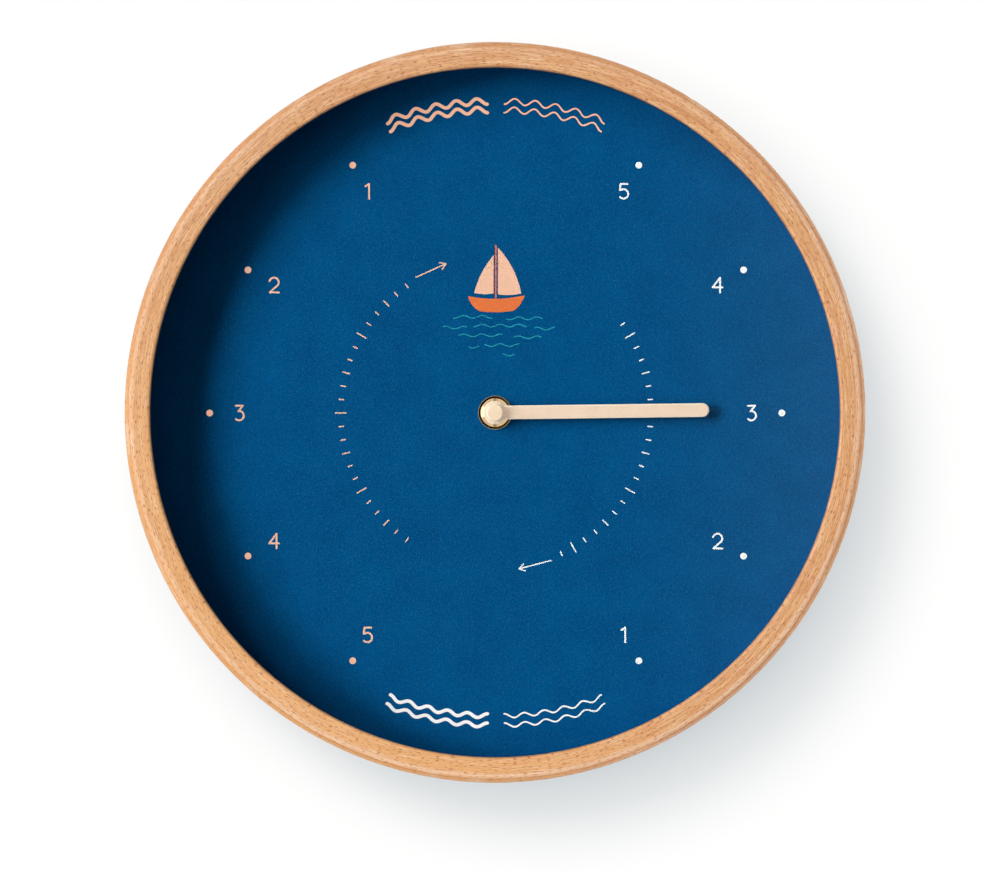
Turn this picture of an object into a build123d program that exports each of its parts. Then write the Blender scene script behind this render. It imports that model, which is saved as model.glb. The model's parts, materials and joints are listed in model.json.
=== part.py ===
from build123d import *
import math
import os

# A round wall tide clock. A bent beech hoop holds a flat glass, a spacer ring and a printed dial on a board.
# A battery quartz movement behind the board turns one hand once in 12 hours 25 minutes.
# Every piece is drawn about the hand's axis: X right, Y up, Z from the wall (zero) towards the viewer.
# Each piece is turned as it is written, so in the files +Z is up, the wall is Y = 0 and the dial faces -Y.
# Lengths are in millimetres and angles in degrees.

# Wooden frame
FRAME_RADIUS = 150.0
FRAME_DEPTH = 45.0
FRAME_WALL = 6.0
FACE_WIDTH = 10.4
LIP_THICKNESS = 3.0
OUTER_ROUND = 3.8
INNER_ROUND = 1.2
BACK_CHAMFER = 1.2

# Where the movement stands in the frame's depth: a least gap at the wall and at the glass, and a share of the rest
KNOB_WALL_GAP = 0.8
CAP_GLASS_GAP = 1.9
REAR_SPARE_SHARE = 0.2

# Glass, spacer ring, dial and board, all dropped into the frame from behind
SEAT_CLEARANCE = 0.3
GLASS_THICKNESS = 2.5
GLASS_CHAMFER = 0.4
SPACER_WALL = 2.8
PAPER_THICKNESS = 0.3
BOARD_THICKNESS = 3.0

# Framing points, driven into the frame flat against the back of the board
POINT_COUNT = 8
POINT_LENGTH = 12.0
POINT_WIDTH = 6.0
POINT_THICKNESS = 0.6
POINT_BITE = 4.0
POINT_TAPER = 3.0
POINT_TIP_WIDTH = 1.0
POINT_SLOT_CLEARANCE = 0.05

# Hand and cap
HAND_LENGTH = 87.5
HAND_WIDTH = 5.6
HAND_THICKNESS = 0.8
HAND_BEVEL = 0.45
HAND_GAP = 0.7
HAND_ANGLE = 0.7
HUB_RADIUS = 4.75
CAP_RADIUS = 3.45
CAP_ROUND = 0.7
CAP_ROOF = 1.1
CAP_END_GAP = 0.1

# Threaded bushing, nut, washer and gasket
BUSHING_RADIUS = 4.0
BUSHING_PROUD = 0.3
FLANGE_RADIUS = 6.0
FLANGE_THICKNESS = 0.8
FLANGE_GAP = 0.3
HOLE_CLEARANCE = 0.15
THREAD_CLEARANCE = 0.02
NUT_RADIUS = 5.85
NUT_HEIGHT = 2.4
NUT_SLOPE_WIDTH = 1.2
NUT_SLOPE_DEPTH = 0.62
NUT_SLOT_WIDTH = 1.3
NUT_SLOT_DEPTH = 1.1
WASHER_RADIUS = 6.95
WASHER_THICKNESS = 0.6
WASHER_ROUND = 0.2
GASKET_RADIUS = 9.0
GASKET_THICKNESS = 0.8

# Hanger bracket, a cranked strip with a keyhole in its upper tab
BRACKET_THICKNESS = 0.8
BRACKET_WIDTH = 22.0
BRACKET_FOOT = 11.0
BRACKET_CORNER = 3.0
BRACKET_SETBACK = 11.0
BRACKET_CASE_GAP = 1.0
BEND_RADIUS = 1.6
TAB_HEIGHT = 23.0
KEYHOLE_RADIUS = 4.5
KEYHOLE_HEIGHT = 7.0
KEYHOLE_SLOT_RADIUS = 2.0
KEYHOLE_RISE = 9.0

# Movement housing
CASE_WALL = 1.5
CASE_CORNER = 4.0
CASE_ROUND = 1.0
COVER_HEIGHT = 7.0
PARTITION_WALL = 1.2
PARTITION_END_GAP = 0.9
WHEEL_CLEARANCE = 0.6
FIT_GAP = 0.05
BOSS_RADIUS = 1.6
BOSS_HEIGHT = 0.6
POST_RADIUS = 1.3
LATCH_WIDTH = 7.0
LATCH_THICKNESS = 0.65
LATCH_HEIGHT = 5.0
LATCH_SPREAD = 13.0
HOOK_REACH = 0.45
HOOK_HEIGHT = 1.4
THUMB_RADIUS = 5.0

# Setting knob
KNOB_HEIGHT = 2.0
KNOB_GAP = 0.3
KNOB_RADIUS = 5.5
KNOB_ROOF = 0.6
KNOB_FLUTES = 18
KNOB_FLUTE_RADIUS = 0.55
DISH_CLEARANCE = 0.8
DISH_DEPTH = 0.5

# Gear teeth, as shares of the module; pinions are long-toothed so that eight teeth are not undercut
PRESSURE_ANGLE = 20.0
TOOTH_SHIFT_SHARE = 0.5
PINION_ADDENDUM_SHARE = 1.25
WHEEL_ADDENDUM_SHARE = 0.4
ROOT_GAP_SHARE = 0.22
PINION_FLANK_SHARES = (0.0, 0.4, 0.75, 1.0)
BACKLASH = 0.06
FULL_TURN = 360.0

# Going train: rotor pinion to centre wheel, one turn of the rotor in two seconds
PINION_TEETH = 8
INTERMEDIATE_TEETH = 48
SECONDS_TEETH = 40
THIRD_TEETH = 60
CENTRE_TEETH = 64
ROTOR_MODULE = 0.25
INTERMEDIATE_MODULE = 0.30
SECONDS_MODULE = 0.26
THIRD_MODULE = 0.28
THIRD_DIRECTION = 155.0
SECONDS_DIRECTION = 75.0
INTERMEDIATE_DIRECTION = 25.0
ROTOR_DIRECTION = 10.0

# Motion works: 41/12 x 40/11 turns the hand once for 12.42 turns of the centre arbor
CANNON_TEETH = 12
MINUTE_TEETH = 41
MINUTE_PINION_TEETH = 11
HOUR_TEETH = 40
CANNON_MODULE = 0.40
MINUTE_DIRECTION = 10.0

# Layers, arbors and bearings
WHEEL_LAYERS = 6
WHEEL_THICKNESS = 0.9
LAYER_GAP = 0.6
PINION_OVERHANG = 0.2
WINDOW_COUNT = 4
WINDOW_PLACE_SHARE = 0.58
WINDOW_RADIUS_SHARE = 0.22
ARBOR_RADIUS = 0.6
PIVOT_RADIUS = 0.45
PIVOT_LENGTH = 1.2
RUNNING_CLEARANCE = 0.05
END_SHAKE = 0.05
PRESS_GAP = 0.01
MINUTE_ARBOR_RADIUS = 1.0
CENTRE_ARBOR_RADIUS = 1.0
COLLAR_RADIUS = 1.8
COLLAR_THICKNESS = 0.7
CANNON_HUB_RADIUS = 1.7
CLUTCH_RADIUS = 2.9
CLUTCH_THICKNESS = 0.15
CLUTCH_HEIGHT = 0.5
PIPE_RADIUS = 2.5
PIPE_PROUD = 2.0
ARBOR_END_GAP = 0.5

# Step motor
MAGNET_RADIUS = 3.0
MAGNET_THICKNESS = 1.6
ROTOR_AIR_GAP = 0.4
STATOR_THICKNESS = 0.8
STATOR_NECK = 1.2
STATOR_LENGTH = 20.0
STATOR_LEG = 3.2
CORE_WIDTH = 2.4
CORE_THICKNESS = 0.8
BOBBIN_SLEEVE = 0.5
BOBBIN_FLANGE = 0.8
BOBBIN_GAP = 0.3
WINDING_THICKNESS = 1.0
WINDING_ROUND = 0.8
FLANGE_LIP = 0.3
COIL_CLEARANCE = 0.4

# Circuit
BOARD_STANDOFF = 1.2
CIRCUIT_THICKNESS = 0.8
CIRCUIT_WIDTH = 11.0
CIRCUIT_HEIGHT = 24.0
CIRCUIT_CLEARANCE = 0.6
CRYSTAL_RADIUS = 1.0
CRYSTAL_LENGTH = 6.0
CHIP_RADIUS = 2.6
CHIP_HEIGHT = 0.9
CRYSTAL_PLACE_SHARES = (0.5, 0.78)
CHIP_PLACE_SHARES = (0.5, 0.42)

# AA cell and its contacts
BATTERY_RADIUS = 7.25
BATTERY_LENGTH = 50.5
BATTERY_ROUND = 0.6
NUB_RADIUS = 2.7
NUB_LENGTH = 1.3
BAY_CLEARANCE = 0.4
SADDLE_THICKNESS = 1.2
SADDLE_HEIGHT = 2.5
SADDLE_SPREAD = 15.0
BATTERY_SEAT = 0.25
CONTACT_THICKNESS = 0.4
CONTACT_WIDTH = 7.0
CONTACT_REACH = 4.5
CONTACT_GAP = 0.05
LEAF_SPACE = 2.2
LEAF_FOLD = 0.9
TAIL_WIDTH = 2.0

# One overrun for all cuts
OVERRUN = 1.0

# Radii that the pieces share
lip_radius = FRAME_RADIUS - FACE_WIDTH
rebate_radius = FRAME_RADIUS - FRAME_WALL
seat_radius = rebate_radius - SEAT_CLEARANCE
bushing_hole = BUSHING_RADIUS + HOLE_CLEARANCE
bushing_bore = PIPE_RADIUS + RUNNING_CLEARANCE

# Depth of the whole stack, from the back of the setting knob to the top of the hand's cap
layer_step = WHEEL_THICKNESS + LAYER_GAP
train_depth = (
    BOSS_HEIGHT + LAYER_GAP + MAGNET_THICKNESS + WHEEL_LAYERS * layer_step + FLANGE_GAP + FLANGE_THICKNESS)
movement_depth = train_depth + 2 * CASE_WALL
dial_depth = BRACKET_THICKNESS + GASKET_THICKNESS + BOARD_THICKNESS + PAPER_THICKNESS
nut_depth = WASHER_THICKNESS + NUT_HEIGHT
hand_depth = HAND_GAP + HAND_THICKNESS + PIPE_PROUD + CAP_END_GAP + CAP_ROOF
stack_depth = KNOB_HEIGHT + KNOB_GAP + movement_depth + dial_depth + nut_depth + hand_depth

# Levels of the glass, and of the stack between it and the wall
glass_front = FRAME_DEPTH - LIP_THICKNESS
glass_back = glass_front - GLASS_THICKNESS
spare_depth = glass_back - stack_depth - KNOB_WALL_GAP - CAP_GLASS_GAP
knob_back = KNOB_WALL_GAP + REAR_SPARE_SHARE * spare_depth

# Levels of the movement, from the wall outwards
knob_front = knob_back + KNOB_HEIGHT
case_back = knob_front + KNOB_GAP
rear_inner = case_back + CASE_WALL
rear_shoulder = rear_inner + BOSS_HEIGHT + END_SHAKE
magnet_back = rear_inner + BOSS_HEIGHT + LAYER_GAP
front_inner = rear_inner + train_depth
flange_back = front_inner - FLANGE_THICKNESS
hour_back = flange_back - FLANGE_GAP - WHEEL_THICKNESS
minute_back = hour_back - layer_step
centre_back = minute_back - layer_step
third_back = centre_back - layer_step
seconds_back = third_back - layer_step
intermediate_back = seconds_back - layer_step
front_shoulder = front_inner - BOSS_HEIGHT - END_SHAKE
case_front = front_inner + CASE_WALL
parting = case_back + COVER_HEIGHT
stator_back = magnet_back + (MAGNET_THICKNESS - STATOR_THICKNESS) / 2
core_back = stator_back + STATOR_THICKNESS
circuit_back = rear_inner + BOARD_STANDOFF
circuit_front = circuit_back + CIRCUIT_THICKNESS

# Levels in front of the movement
bracket_front = case_front + BRACKET_THICKNESS
board_back = bracket_front + GASKET_THICKNESS
board_front = board_back + BOARD_THICKNESS
dial_front = board_front + PAPER_THICKNESS
washer_front = dial_front + WASHER_THICKNESS
nut_front = washer_front + NUT_HEIGHT
hand_back = nut_front + HAND_GAP
hand_front = hand_back + HAND_THICKNESS
pipe_front = hand_front + PIPE_PROUD


def polar(start, distance, direction):
    """The point at a distance and direction from a start."""
    angle = math.radians(direction)
    return (start[0] + distance * math.cos(angle), start[1] + distance * math.sin(angle))


def centre_distance(pinion_teeth, wheel_teeth, module):
    return (pinion_teeth + wheel_teeth) * module / 2


def wheel_tip(teeth, module):
    return teeth * module / 2 + WHEEL_ADDENDUM_SHARE * module


# Places of the arbors, each a centre distance from the last
AXIS = (0, 0)
third_place = polar(AXIS, centre_distance(PINION_TEETH, CENTRE_TEETH, THIRD_MODULE), THIRD_DIRECTION)
seconds_place = polar(
    third_place, centre_distance(PINION_TEETH, THIRD_TEETH, SECONDS_MODULE), SECONDS_DIRECTION)
intermediate_place = polar(
    seconds_place, centre_distance(PINION_TEETH, SECONDS_TEETH, INTERMEDIATE_MODULE), INTERMEDIATE_DIRECTION)
rotor_place = polar(
    intermediate_place, centre_distance(PINION_TEETH, INTERMEDIATE_TEETH, ROTOR_MODULE), ROTOR_DIRECTION)
motion_distance = centre_distance(CANNON_TEETH, MINUTE_TEETH, CANNON_MODULE)
hour_module = 2 * motion_distance / (MINUTE_PINION_TEETH + HOUR_TEETH)
minute_place = polar(AXIS, motion_distance, MINUTE_DIRECTION)

# Step motor in plan
rotor_hole = MAGNET_RADIUS + ROTOR_AIR_GAP
stator_half = rotor_hole + STATOR_NECK
stator_left = rotor_place[0] - stator_half
stator_right = stator_left + STATOR_LENGTH
winding_growth = BOBBIN_SLEEVE + WINDING_THICKNESS
flange_growth = winding_growth + FLANGE_LIP
bobbin_half = CORE_WIDTH / 2 + flange_growth
coil_height = rotor_place[1] + stator_half + BOBBIN_GAP + bobbin_half
bobbin_left = stator_left + STATOR_LEG + BOBBIN_GAP
bobbin_right = stator_right - STATOR_LEG - BOBBIN_GAP

# Housing in plan: the train above the partition, the cell in its bay below
partition_top = -WHEEL_CLEARANCE - max(
    wheel_tip(CENTRE_TEETH, THIRD_MODULE), wheel_tip(HOUR_TEETH, hour_module))
bay_top = partition_top - PARTITION_WALL
battery_height = bay_top - BAY_CLEARANCE - BATTERY_RADIUS
battery_level = front_inner - BATTERY_SEAT - BATTERY_RADIUS
inner_bottom = battery_height - BATTERY_RADIUS - BAY_CLEARANCE
inner_top = coil_height + bobbin_half + COIL_CLEARANCE
inner_half = (BATTERY_LENGTH + CONTACT_THICKNESS + 2 * CONTACT_GAP + LEAF_SPACE) / 2
case_top = inner_top + CASE_WALL
case_bottom = inner_bottom - CASE_WALL
case_half = inner_half + CASE_WALL
battery_right = inner_half - CONTACT_THICKNESS - CONTACT_GAP
battery_left = battery_right - BATTERY_LENGTH
circuit_left = -inner_half + CONTACT_THICKNESS + CIRCUIT_CLEARANCE
circuit_bottom = partition_top + CONTACT_THICKNESS + CIRCUIT_CLEARANCE
tail_top = circuit_bottom + TAIL_WIDTH

# Hanger bracket in plan and depth
shelf_height = case_top + BRACKET_CASE_GAP + BRACKET_THICKNESS / 2
bracket_middle = case_front + BRACKET_THICKNESS / 2
tab_middle = bracket_middle - BRACKET_SETBACK
tab_top = shelf_height + TAB_HEIGHT
keyhole_height = shelf_height + KEYHOLE_HEIGHT


def disc(radius, low, high, place=AXIS):
    """A cylinder along Z between two levels."""
    standing = (Align.CENTER, Align.CENTER, Align.MIN)
    return Pos(place[0], place[1], low) * Cylinder(radius, high - low, align=standing)


def tube(outer, inner, low, high, place=AXIS):
    return disc(outer, low, high, place) - disc(inner, low - OVERRUN, high + OVERRUN, place)


def block(left, right, bottom, top, low, high):
    """A box between its six sides."""
    corner = (Align.MIN, Align.MIN, Align.MIN)
    return Pos(left, bottom, low) * Box(right - left, top - bottom, high - low, align=corner)


def turned(*edges):
    """A profile of radius and level, revolved about the hand's axis."""
    return revolve(Plane.XZ * make_face(edges), Axis.Z)


def around(count, place=AXIS):
    """Locations spaced evenly about a place."""
    return [Pos(place[0], place[1]) * Rot(0, 0, FULL_TURN * index / count) for index in range(count)]


def gear(teeth, module, tooth_direction, low, high, place, is_pinion=False):
    """A spur gear with involute flanks and one tooth centred on the given direction."""
    pressure = math.radians(PRESSURE_ANGLE)
    pitch = teeth * module / 2
    base = pitch * math.cos(pressure)
    shift = TOOTH_SHIFT_SHARE if is_pinion else -TOOTH_SHIFT_SHARE
    addendum, mate_addendum = WHEEL_ADDENDUM_SHARE, PINION_ADDENDUM_SHARE
    if is_pinion:
        addendum, mate_addendum = PINION_ADDENDUM_SHARE, WHEEL_ADDENDUM_SHARE
    tip = pitch + addendum * module
    root = pitch - (mate_addendum + ROOT_GAP_SHARE) * module
    pitch_angle = math.pi / (2 * teeth) + 2 * shift * math.tan(pressure) / teeth - BACKLASH / (4 * pitch)

    def half_angle(radius):
        roll = math.acos(min(1, base / radius))
        return pitch_angle + (math.tan(pressure) - pressure) - (math.tan(roll) - roll)

    flank = [root, tip]
    if is_pinion:
        start = max(base, root)
        flank = [root] + [start + share * (tip - start) for share in PINION_FLANK_SHARES]
    outline = []
    for index in range(teeth):
        middle = math.radians(tooth_direction + FULL_TURN * index / teeth)
        outline += [(radius, middle - half_angle(radius)) for radius in flank]
        outline += [(radius, middle + half_angle(radius)) for radius in reversed(flank)]
    points = [(radius * math.cos(angle), radius * math.sin(angle)) for radius, angle in outline]
    face = make_face(Polyline(*points, close=True))
    return Pos(place[0], place[1], low) * extrude(face, high - low)


def wheel(teeth, module, pinion_direction, low, place):
    """A train wheel with round windows and a tooth gap facing the pinion that drives it."""
    high = low + WHEEL_THICKNESS
    pitch = teeth * module / 2
    half_tooth = FULL_TURN / (2 * teeth)
    blank = gear(teeth, module, pinion_direction + half_tooth, low, high, place)
    window = Pos(WINDOW_PLACE_SHARE * pitch, 0) * disc(
        WINDOW_RADIUS_SHARE * pitch, low - OVERRUN, high + OVERRUN)
    return blank - [spot * window for spot in around(WINDOW_COUNT, place)]


def pinion(teeth, module, wheel_direction, wheel_back, place):
    """A pinion with a tooth facing the wheel that it drives, a little wider than that wheel."""
    low = wheel_back - PINION_OVERHANG
    high = wheel_back + WHEEL_THICKNESS + PINION_OVERHANG
    return gear(teeth, module, wheel_direction, low, high, place, is_pinion=True)


def train_arbor(place):
    """A plain arbor between the two halves of the housing, with a pivot at each end."""
    body = disc(ARBOR_RADIUS, rear_shoulder, front_shoulder, place)
    return body + disc(PIVOT_RADIUS, rear_shoulder - PIVOT_LENGTH, front_shoulder + PIVOT_LENGTH, place)


def opposite(direction):
    return direction + FULL_TURN / 2


def wood_frame():
    """The beech hoop: rounded outside, eased inside, rebated from behind and slotted for the points."""
    outer_start = FRAME_DEPTH - OUTER_ROUND
    inner_start = FRAME_DEPTH - INNER_ROUND
    quarter = FULL_TURN / 4
    outer_centre = (FRAME_RADIUS - OUTER_ROUND, outer_start)
    inner_centre = (lip_radius + INNER_ROUND, inner_start)
    hoop = turned(
        Polyline(
            (lip_radius, inner_start),
            (lip_radius, glass_front),
            (rebate_radius, glass_front),
            (rebate_radius, 0),
            (FRAME_RADIUS - BACK_CHAMFER, 0),
            (FRAME_RADIUS, BACK_CHAMFER),
            (FRAME_RADIUS, outer_start),
        ),
        CenterArc(outer_centre, OUTER_ROUND, 0, quarter),
        Line((FRAME_RADIUS - OUTER_ROUND, FRAME_DEPTH), (lip_radius + INNER_ROUND, FRAME_DEPTH)),
        CenterArc(inner_centre, INNER_ROUND, quarter, quarter),
    )
    half_slot = POINT_WIDTH / 2 + POINT_SLOT_CLEARANCE
    slot = block(
        rebate_radius - OVERRUN,
        rebate_radius + POINT_BITE + POINT_SLOT_CLEARANCE,
        -half_slot,
        half_slot,
        board_back - POINT_THICKNESS - POINT_SLOT_CLEARANCE,
        board_back + POINT_SLOT_CLEARANCE,
    )
    return hoop - [spot * slot for spot in around(POINT_COUNT)]


def framing_points():
    """Flat steel points with a tapered end, lying on the back of the board."""
    end = rebate_radius + POINT_BITE
    start = end - POINT_LENGTH
    half = POINT_WIDTH / 2
    half_tip = POINT_TIP_WIDTH / 2
    outline = make_face(Polyline(
        (start, -half),
        (end - POINT_TAPER, -half),
        (end, -half_tip),
        (end, half_tip),
        (end - POINT_TAPER, half),
        (start, half),
        close=True,
    ))
    point = Pos(0, 0, board_back - POINT_THICKNESS) * extrude(outline, POINT_THICKNESS)
    return Compound([spot * point.solid() for spot in around(POINT_COUNT)])


def glass_lens():
    pane = disc(seat_radius, glass_back, glass_front)
    return chamfer(pane.edges().filter_by(GeomType.CIRCLE), GLASS_CHAMFER)


def spacer_ring():
    return tube(seat_radius, seat_radius - SPACER_WALL, dial_front, glass_back)


def dial_face():
    return tube(seat_radius, bushing_hole, board_front, dial_front)


def dial_board():
    return tube(seat_radius, bushing_hole, board_back, board_front)


def gasket():
    return tube(GASKET_RADIUS, bushing_hole, bracket_front, board_back)


def dial_washer():
    body = disc(WASHER_RADIUS, dial_front, washer_front)
    body = fillet(body.edges().group_by(Axis.Z)[-1], WASHER_ROUND)
    return body - disc(bushing_hole, dial_front - OVERRUN, washer_front + OVERRUN)


def dial_nut():
    """A round nut with a sloping front, and a spanner slot at the top and the bottom."""
    bore = BUSHING_RADIUS + THREAD_CLEARANCE
    slope_back = nut_front - NUT_SLOPE_DEPTH
    slope = Cone(NUT_RADIUS, NUT_RADIUS - NUT_SLOPE_WIDTH, NUT_SLOPE_DEPTH)
    body = disc(NUT_RADIUS, washer_front, slope_back)
    body += Pos(0, 0, slope_back + NUT_SLOPE_DEPTH / 2) * slope
    half_slot = NUT_SLOT_WIDTH / 2
    reach = NUT_RADIUS + OVERRUN
    slot = block(-half_slot, half_slot, -reach, reach, nut_front - NUT_SLOT_DEPTH, nut_front + OVERRUN)
    return body - slot - disc(bore, washer_front - OVERRUN, nut_front + OVERRUN)


def threaded_bushing():
    """The bushing that clamps the movement to the dial, with its flange inside the housing."""
    barrel = disc(BUSHING_RADIUS, flange_back, nut_front + BUSHING_PROUD)
    flange = disc(FLANGE_RADIUS, flange_back, front_inner)
    bore = disc(bushing_bore, flange_back - OVERRUN, nut_front + BUSHING_PROUD + OVERRUN)
    return barrel + flange - bore


def hanger_bracket():
    """A strip cranked back over the top of the movement, with a keyhole in its tab."""
    route = FilletPolyline(
        (-BRACKET_FOOT, bracket_middle),
        (shelf_height, bracket_middle),
        (shelf_height, tab_middle),
        (tab_top, tab_middle),
        radius=BEND_RADIUS,
    )
    section = Plane.YZ * trace(route, BRACKET_THICKNESS)
    strip = extrude(section, BRACKET_WIDTH / 2, both=True)
    length = tab_top + BRACKET_FOOT
    blank = Pos(0, (tab_top - BRACKET_FOOT) / 2) * RectangleRounded(BRACKET_WIDTH, length, BRACKET_CORNER)
    strip = strip & extrude(blank, board_back)
    slot_end = keyhole_height + KEYHOLE_RISE
    low = tab_middle - BRACKET_THICKNESS
    high = tab_middle + BRACKET_THICKNESS
    strip -= disc(KEYHOLE_RADIUS, low, high, (0, keyhole_height))
    strip -= disc(KEYHOLE_SLOT_RADIUS, low, high, (0, slot_end))
    strip -= block(-KEYHOLE_SLOT_RADIUS, KEYHOLE_SLOT_RADIUS, keyhole_height, slot_end, low, high)
    return strip - disc(bushing_hole, case_front - OVERRUN, board_back)


def housing_plan(inset):
    """The housing's rounded outline, drawn in by an inset."""
    middle = (case_top + case_bottom) / 2
    width = 2 * (case_half - inset)
    height = case_top - case_bottom - 2 * inset
    return Pos(0, middle) * RectangleRounded(width, height, CASE_CORNER - inset)


def shell(low, high, floor_low, floor_high):
    """One half of the housing: a rounded tray between two levels with its floor at one end."""
    outer = Pos(0, 0, low) * extrude(housing_plan(0), high - low)
    end_face = outer.faces().sort_by(Axis.Z)[0 if floor_low == low else -1]
    outer = fillet(end_face.edges(), CASE_ROUND)
    hollow_low = floor_high if floor_low == low else low - OVERRUN
    hollow_high = high + OVERRUN if floor_low == low else floor_low
    return outer - Pos(0, 0, hollow_low) * extrude(housing_plan(CASE_WALL), hollow_high - hollow_low)


def latch_spots():
    """Where the two halves clip together: two latches on each of the left and right sides."""
    return [(side, height) for side in (-1, 1) for height in (-LATCH_SPREAD, LATCH_SPREAD)]


def latch_block(side, height, inner, outer, width, low, high):
    """A box on the left or right side of the housing, between two distances from the middle."""
    left, right = sorted((side * inner, side * outer))
    return block(left, right, height - width / 2, height + width / 2, low, high)


def movement_front_case():
    """The front half: bushing hole, pivot bosses, saddles for the cell and windows for the latches."""
    case = shell(parting, case_front, front_inner, case_front)
    places = (third_place, seconds_place, intermediate_place, rotor_place, minute_place)
    hole_top = front_shoulder + PIVOT_LENGTH + END_SHAKE
    for place in places:
        case += disc(BOSS_RADIUS, front_inner - BOSS_HEIGHT, front_inner, place)
        case -= disc(PIVOT_RADIUS + RUNNING_CLEARANCE, front_shoulder - OVERRUN, hole_top, place)
    cell_space = Pos(0, battery_height, battery_level) * Rot(0, FULL_TURN / 4) * Cylinder(
        BATTERY_RADIUS + BATTERY_SEAT, BATTERY_LENGTH)
    for middle in (-SADDLE_SPREAD, SADDLE_SPREAD):
        case += block(
            middle - SADDLE_THICKNESS / 2,
            middle + SADDLE_THICKNESS / 2,
            inner_bottom,
            bay_top - FIT_GAP,
            front_inner - SADDLE_HEIGHT,
            front_inner,
        ) - cell_space
    latch_top = parting + LATCH_HEIGHT + FIT_GAP
    window_low = latch_top - HOOK_HEIGHT - 2 * FIT_GAP
    recess = inner_half + LATCH_THICKNESS + FIT_GAP
    room = LATCH_WIDTH + 2 * FIT_GAP
    for side, height in latch_spots():
        case -= latch_block(side, height, inner_half - OVERRUN, recess, room, parting - OVERRUN, latch_top)
        case -= latch_block(side, height, inner_half, case_half + OVERRUN, room, window_low, latch_top)
    return case - disc(BUSHING_RADIUS + PRESS_GAP, front_inner - OVERRUN, case_front + OVERRUN)


def movement_rear_cover():
    """The rear half: partition, open cell bay, pivot bosses, posts, latches and the dish for the knob."""
    cover = shell(case_back, parting, case_back, rear_inner)
    partition_half = inner_half - PARTITION_END_GAP
    cover += block(-partition_half, partition_half, bay_top, partition_top, rear_inner, front_inner - FIT_GAP)
    cover -= block(-inner_half, inner_half, inner_bottom, bay_top, case_back - OVERRUN, rear_inner + OVERRUN)
    cover -= Pos(0, inner_bottom, case_back) * Rot(FULL_TURN / 4, 0, 0) * Cylinder(
        THUMB_RADIUS, 2 * (CASE_WALL + OVERRUN))
    bosses = (AXIS, third_place, seconds_place, intermediate_place, rotor_place)
    boss_top = rear_inner + BOSS_HEIGHT
    for place in bosses:
        cover += disc(BOSS_RADIUS, rear_inner, boss_top, place)
        cover -= disc(
            PIVOT_RADIUS + RUNNING_CLEARANCE, rear_shoulder - PIVOT_LENGTH - END_SHAKE, boss_top + OVERRUN, place)
    cover += disc(MINUTE_ARBOR_RADIUS + CASE_WALL, rear_inner, boss_top, minute_place)
    cover -= disc(KNOB_RADIUS + DISH_CLEARANCE, case_back - OVERRUN, case_back + DISH_DEPTH, minute_place)
    cover -= disc(
        MINUTE_ARBOR_RADIUS + RUNNING_CLEARANCE, case_back - OVERRUN, boss_top + OVERRUN, minute_place)
    stator_posts = [
        (stator_left + STATOR_LEG / 2, coil_height),
        (stator_right - STATOR_LEG / 2, coil_height),
        (stator_right - STATOR_LEG / 2, rotor_place[1]),
    ]
    for place in stator_posts:
        cover += disc(POST_RADIUS, rear_inner, stator_back, place)
    circuit_middle = circuit_left + CIRCUIT_WIDTH / 2
    for height in (circuit_bottom + POST_RADIUS, circuit_bottom + CIRCUIT_HEIGHT - POST_RADIUS):
        cover += disc(POST_RADIUS, rear_inner, circuit_back, (circuit_middle, height))
    latch_top = parting + LATCH_HEIGHT
    hook_low = latch_top - HOOK_HEIGHT
    tongue = inner_half + LATCH_THICKNESS
    for side, height in latch_spots():
        cover += latch_block(side, height, inner_half, tongue, LATCH_WIDTH, parting - OVERRUN, latch_top)
        cover += latch_block(side, height, inner_half, tongue + HOOK_REACH, LATCH_WIDTH, hook_low, latch_top)
    return cover


def hour_wheel():
    """The hour wheel with the pipe that carries the hand."""
    body = wheel(HOUR_TEETH, hour_module, MINUTE_DIRECTION, hour_back, AXIS)
    body += disc(PIPE_RADIUS, hour_back, pipe_front)
    return body - disc(CENTRE_ARBOR_RADIUS + RUNNING_CLEARANCE, hour_back - OVERRUN, pipe_front + OVERRUN)


def minute_wheel():
    """Minute wheel and pinion on the arbor that carries the setting knob."""
    driven_from = opposite(MINUTE_DIRECTION)
    body = wheel(MINUTE_TEETH, CANNON_MODULE, driven_from, minute_back, minute_place)
    body += pinion(MINUTE_PINION_TEETH, hour_module, driven_from, hour_back, minute_place)
    body += disc(MINUTE_ARBOR_RADIUS, knob_back + KNOB_ROOF, front_shoulder, minute_place)
    return body + disc(PIVOT_RADIUS, front_shoulder, front_shoulder + PIVOT_LENGTH, minute_place)


def setting_knob():
    """A fluted knob pressed onto the minute arbor."""
    body = disc(KNOB_RADIUS, knob_back, knob_front, minute_place)
    flute = Pos(KNOB_RADIUS, 0) * disc(KNOB_FLUTE_RADIUS, knob_back - OVERRUN, knob_front + OVERRUN)
    body -= [spot * flute for spot in around(KNOB_FLUTES, minute_place)]
    return body - disc(
        MINUTE_ARBOR_RADIUS + PRESS_GAP, knob_back + KNOB_ROOF, knob_front + OVERRUN, minute_place)


def centre_arbor():
    """The steel arbor through the hour pipe, with the collar that backs the clutch spring."""
    collar_front = centre_back - CLUTCH_HEIGHT
    body = disc(CENTRE_ARBOR_RADIUS, rear_shoulder, pipe_front - ARBOR_END_GAP)
    body += disc(PIVOT_RADIUS, rear_shoulder - PIVOT_LENGTH, rear_shoulder)
    return body + disc(COLLAR_RADIUS, collar_front - COLLAR_THICKNESS, collar_front)


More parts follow.
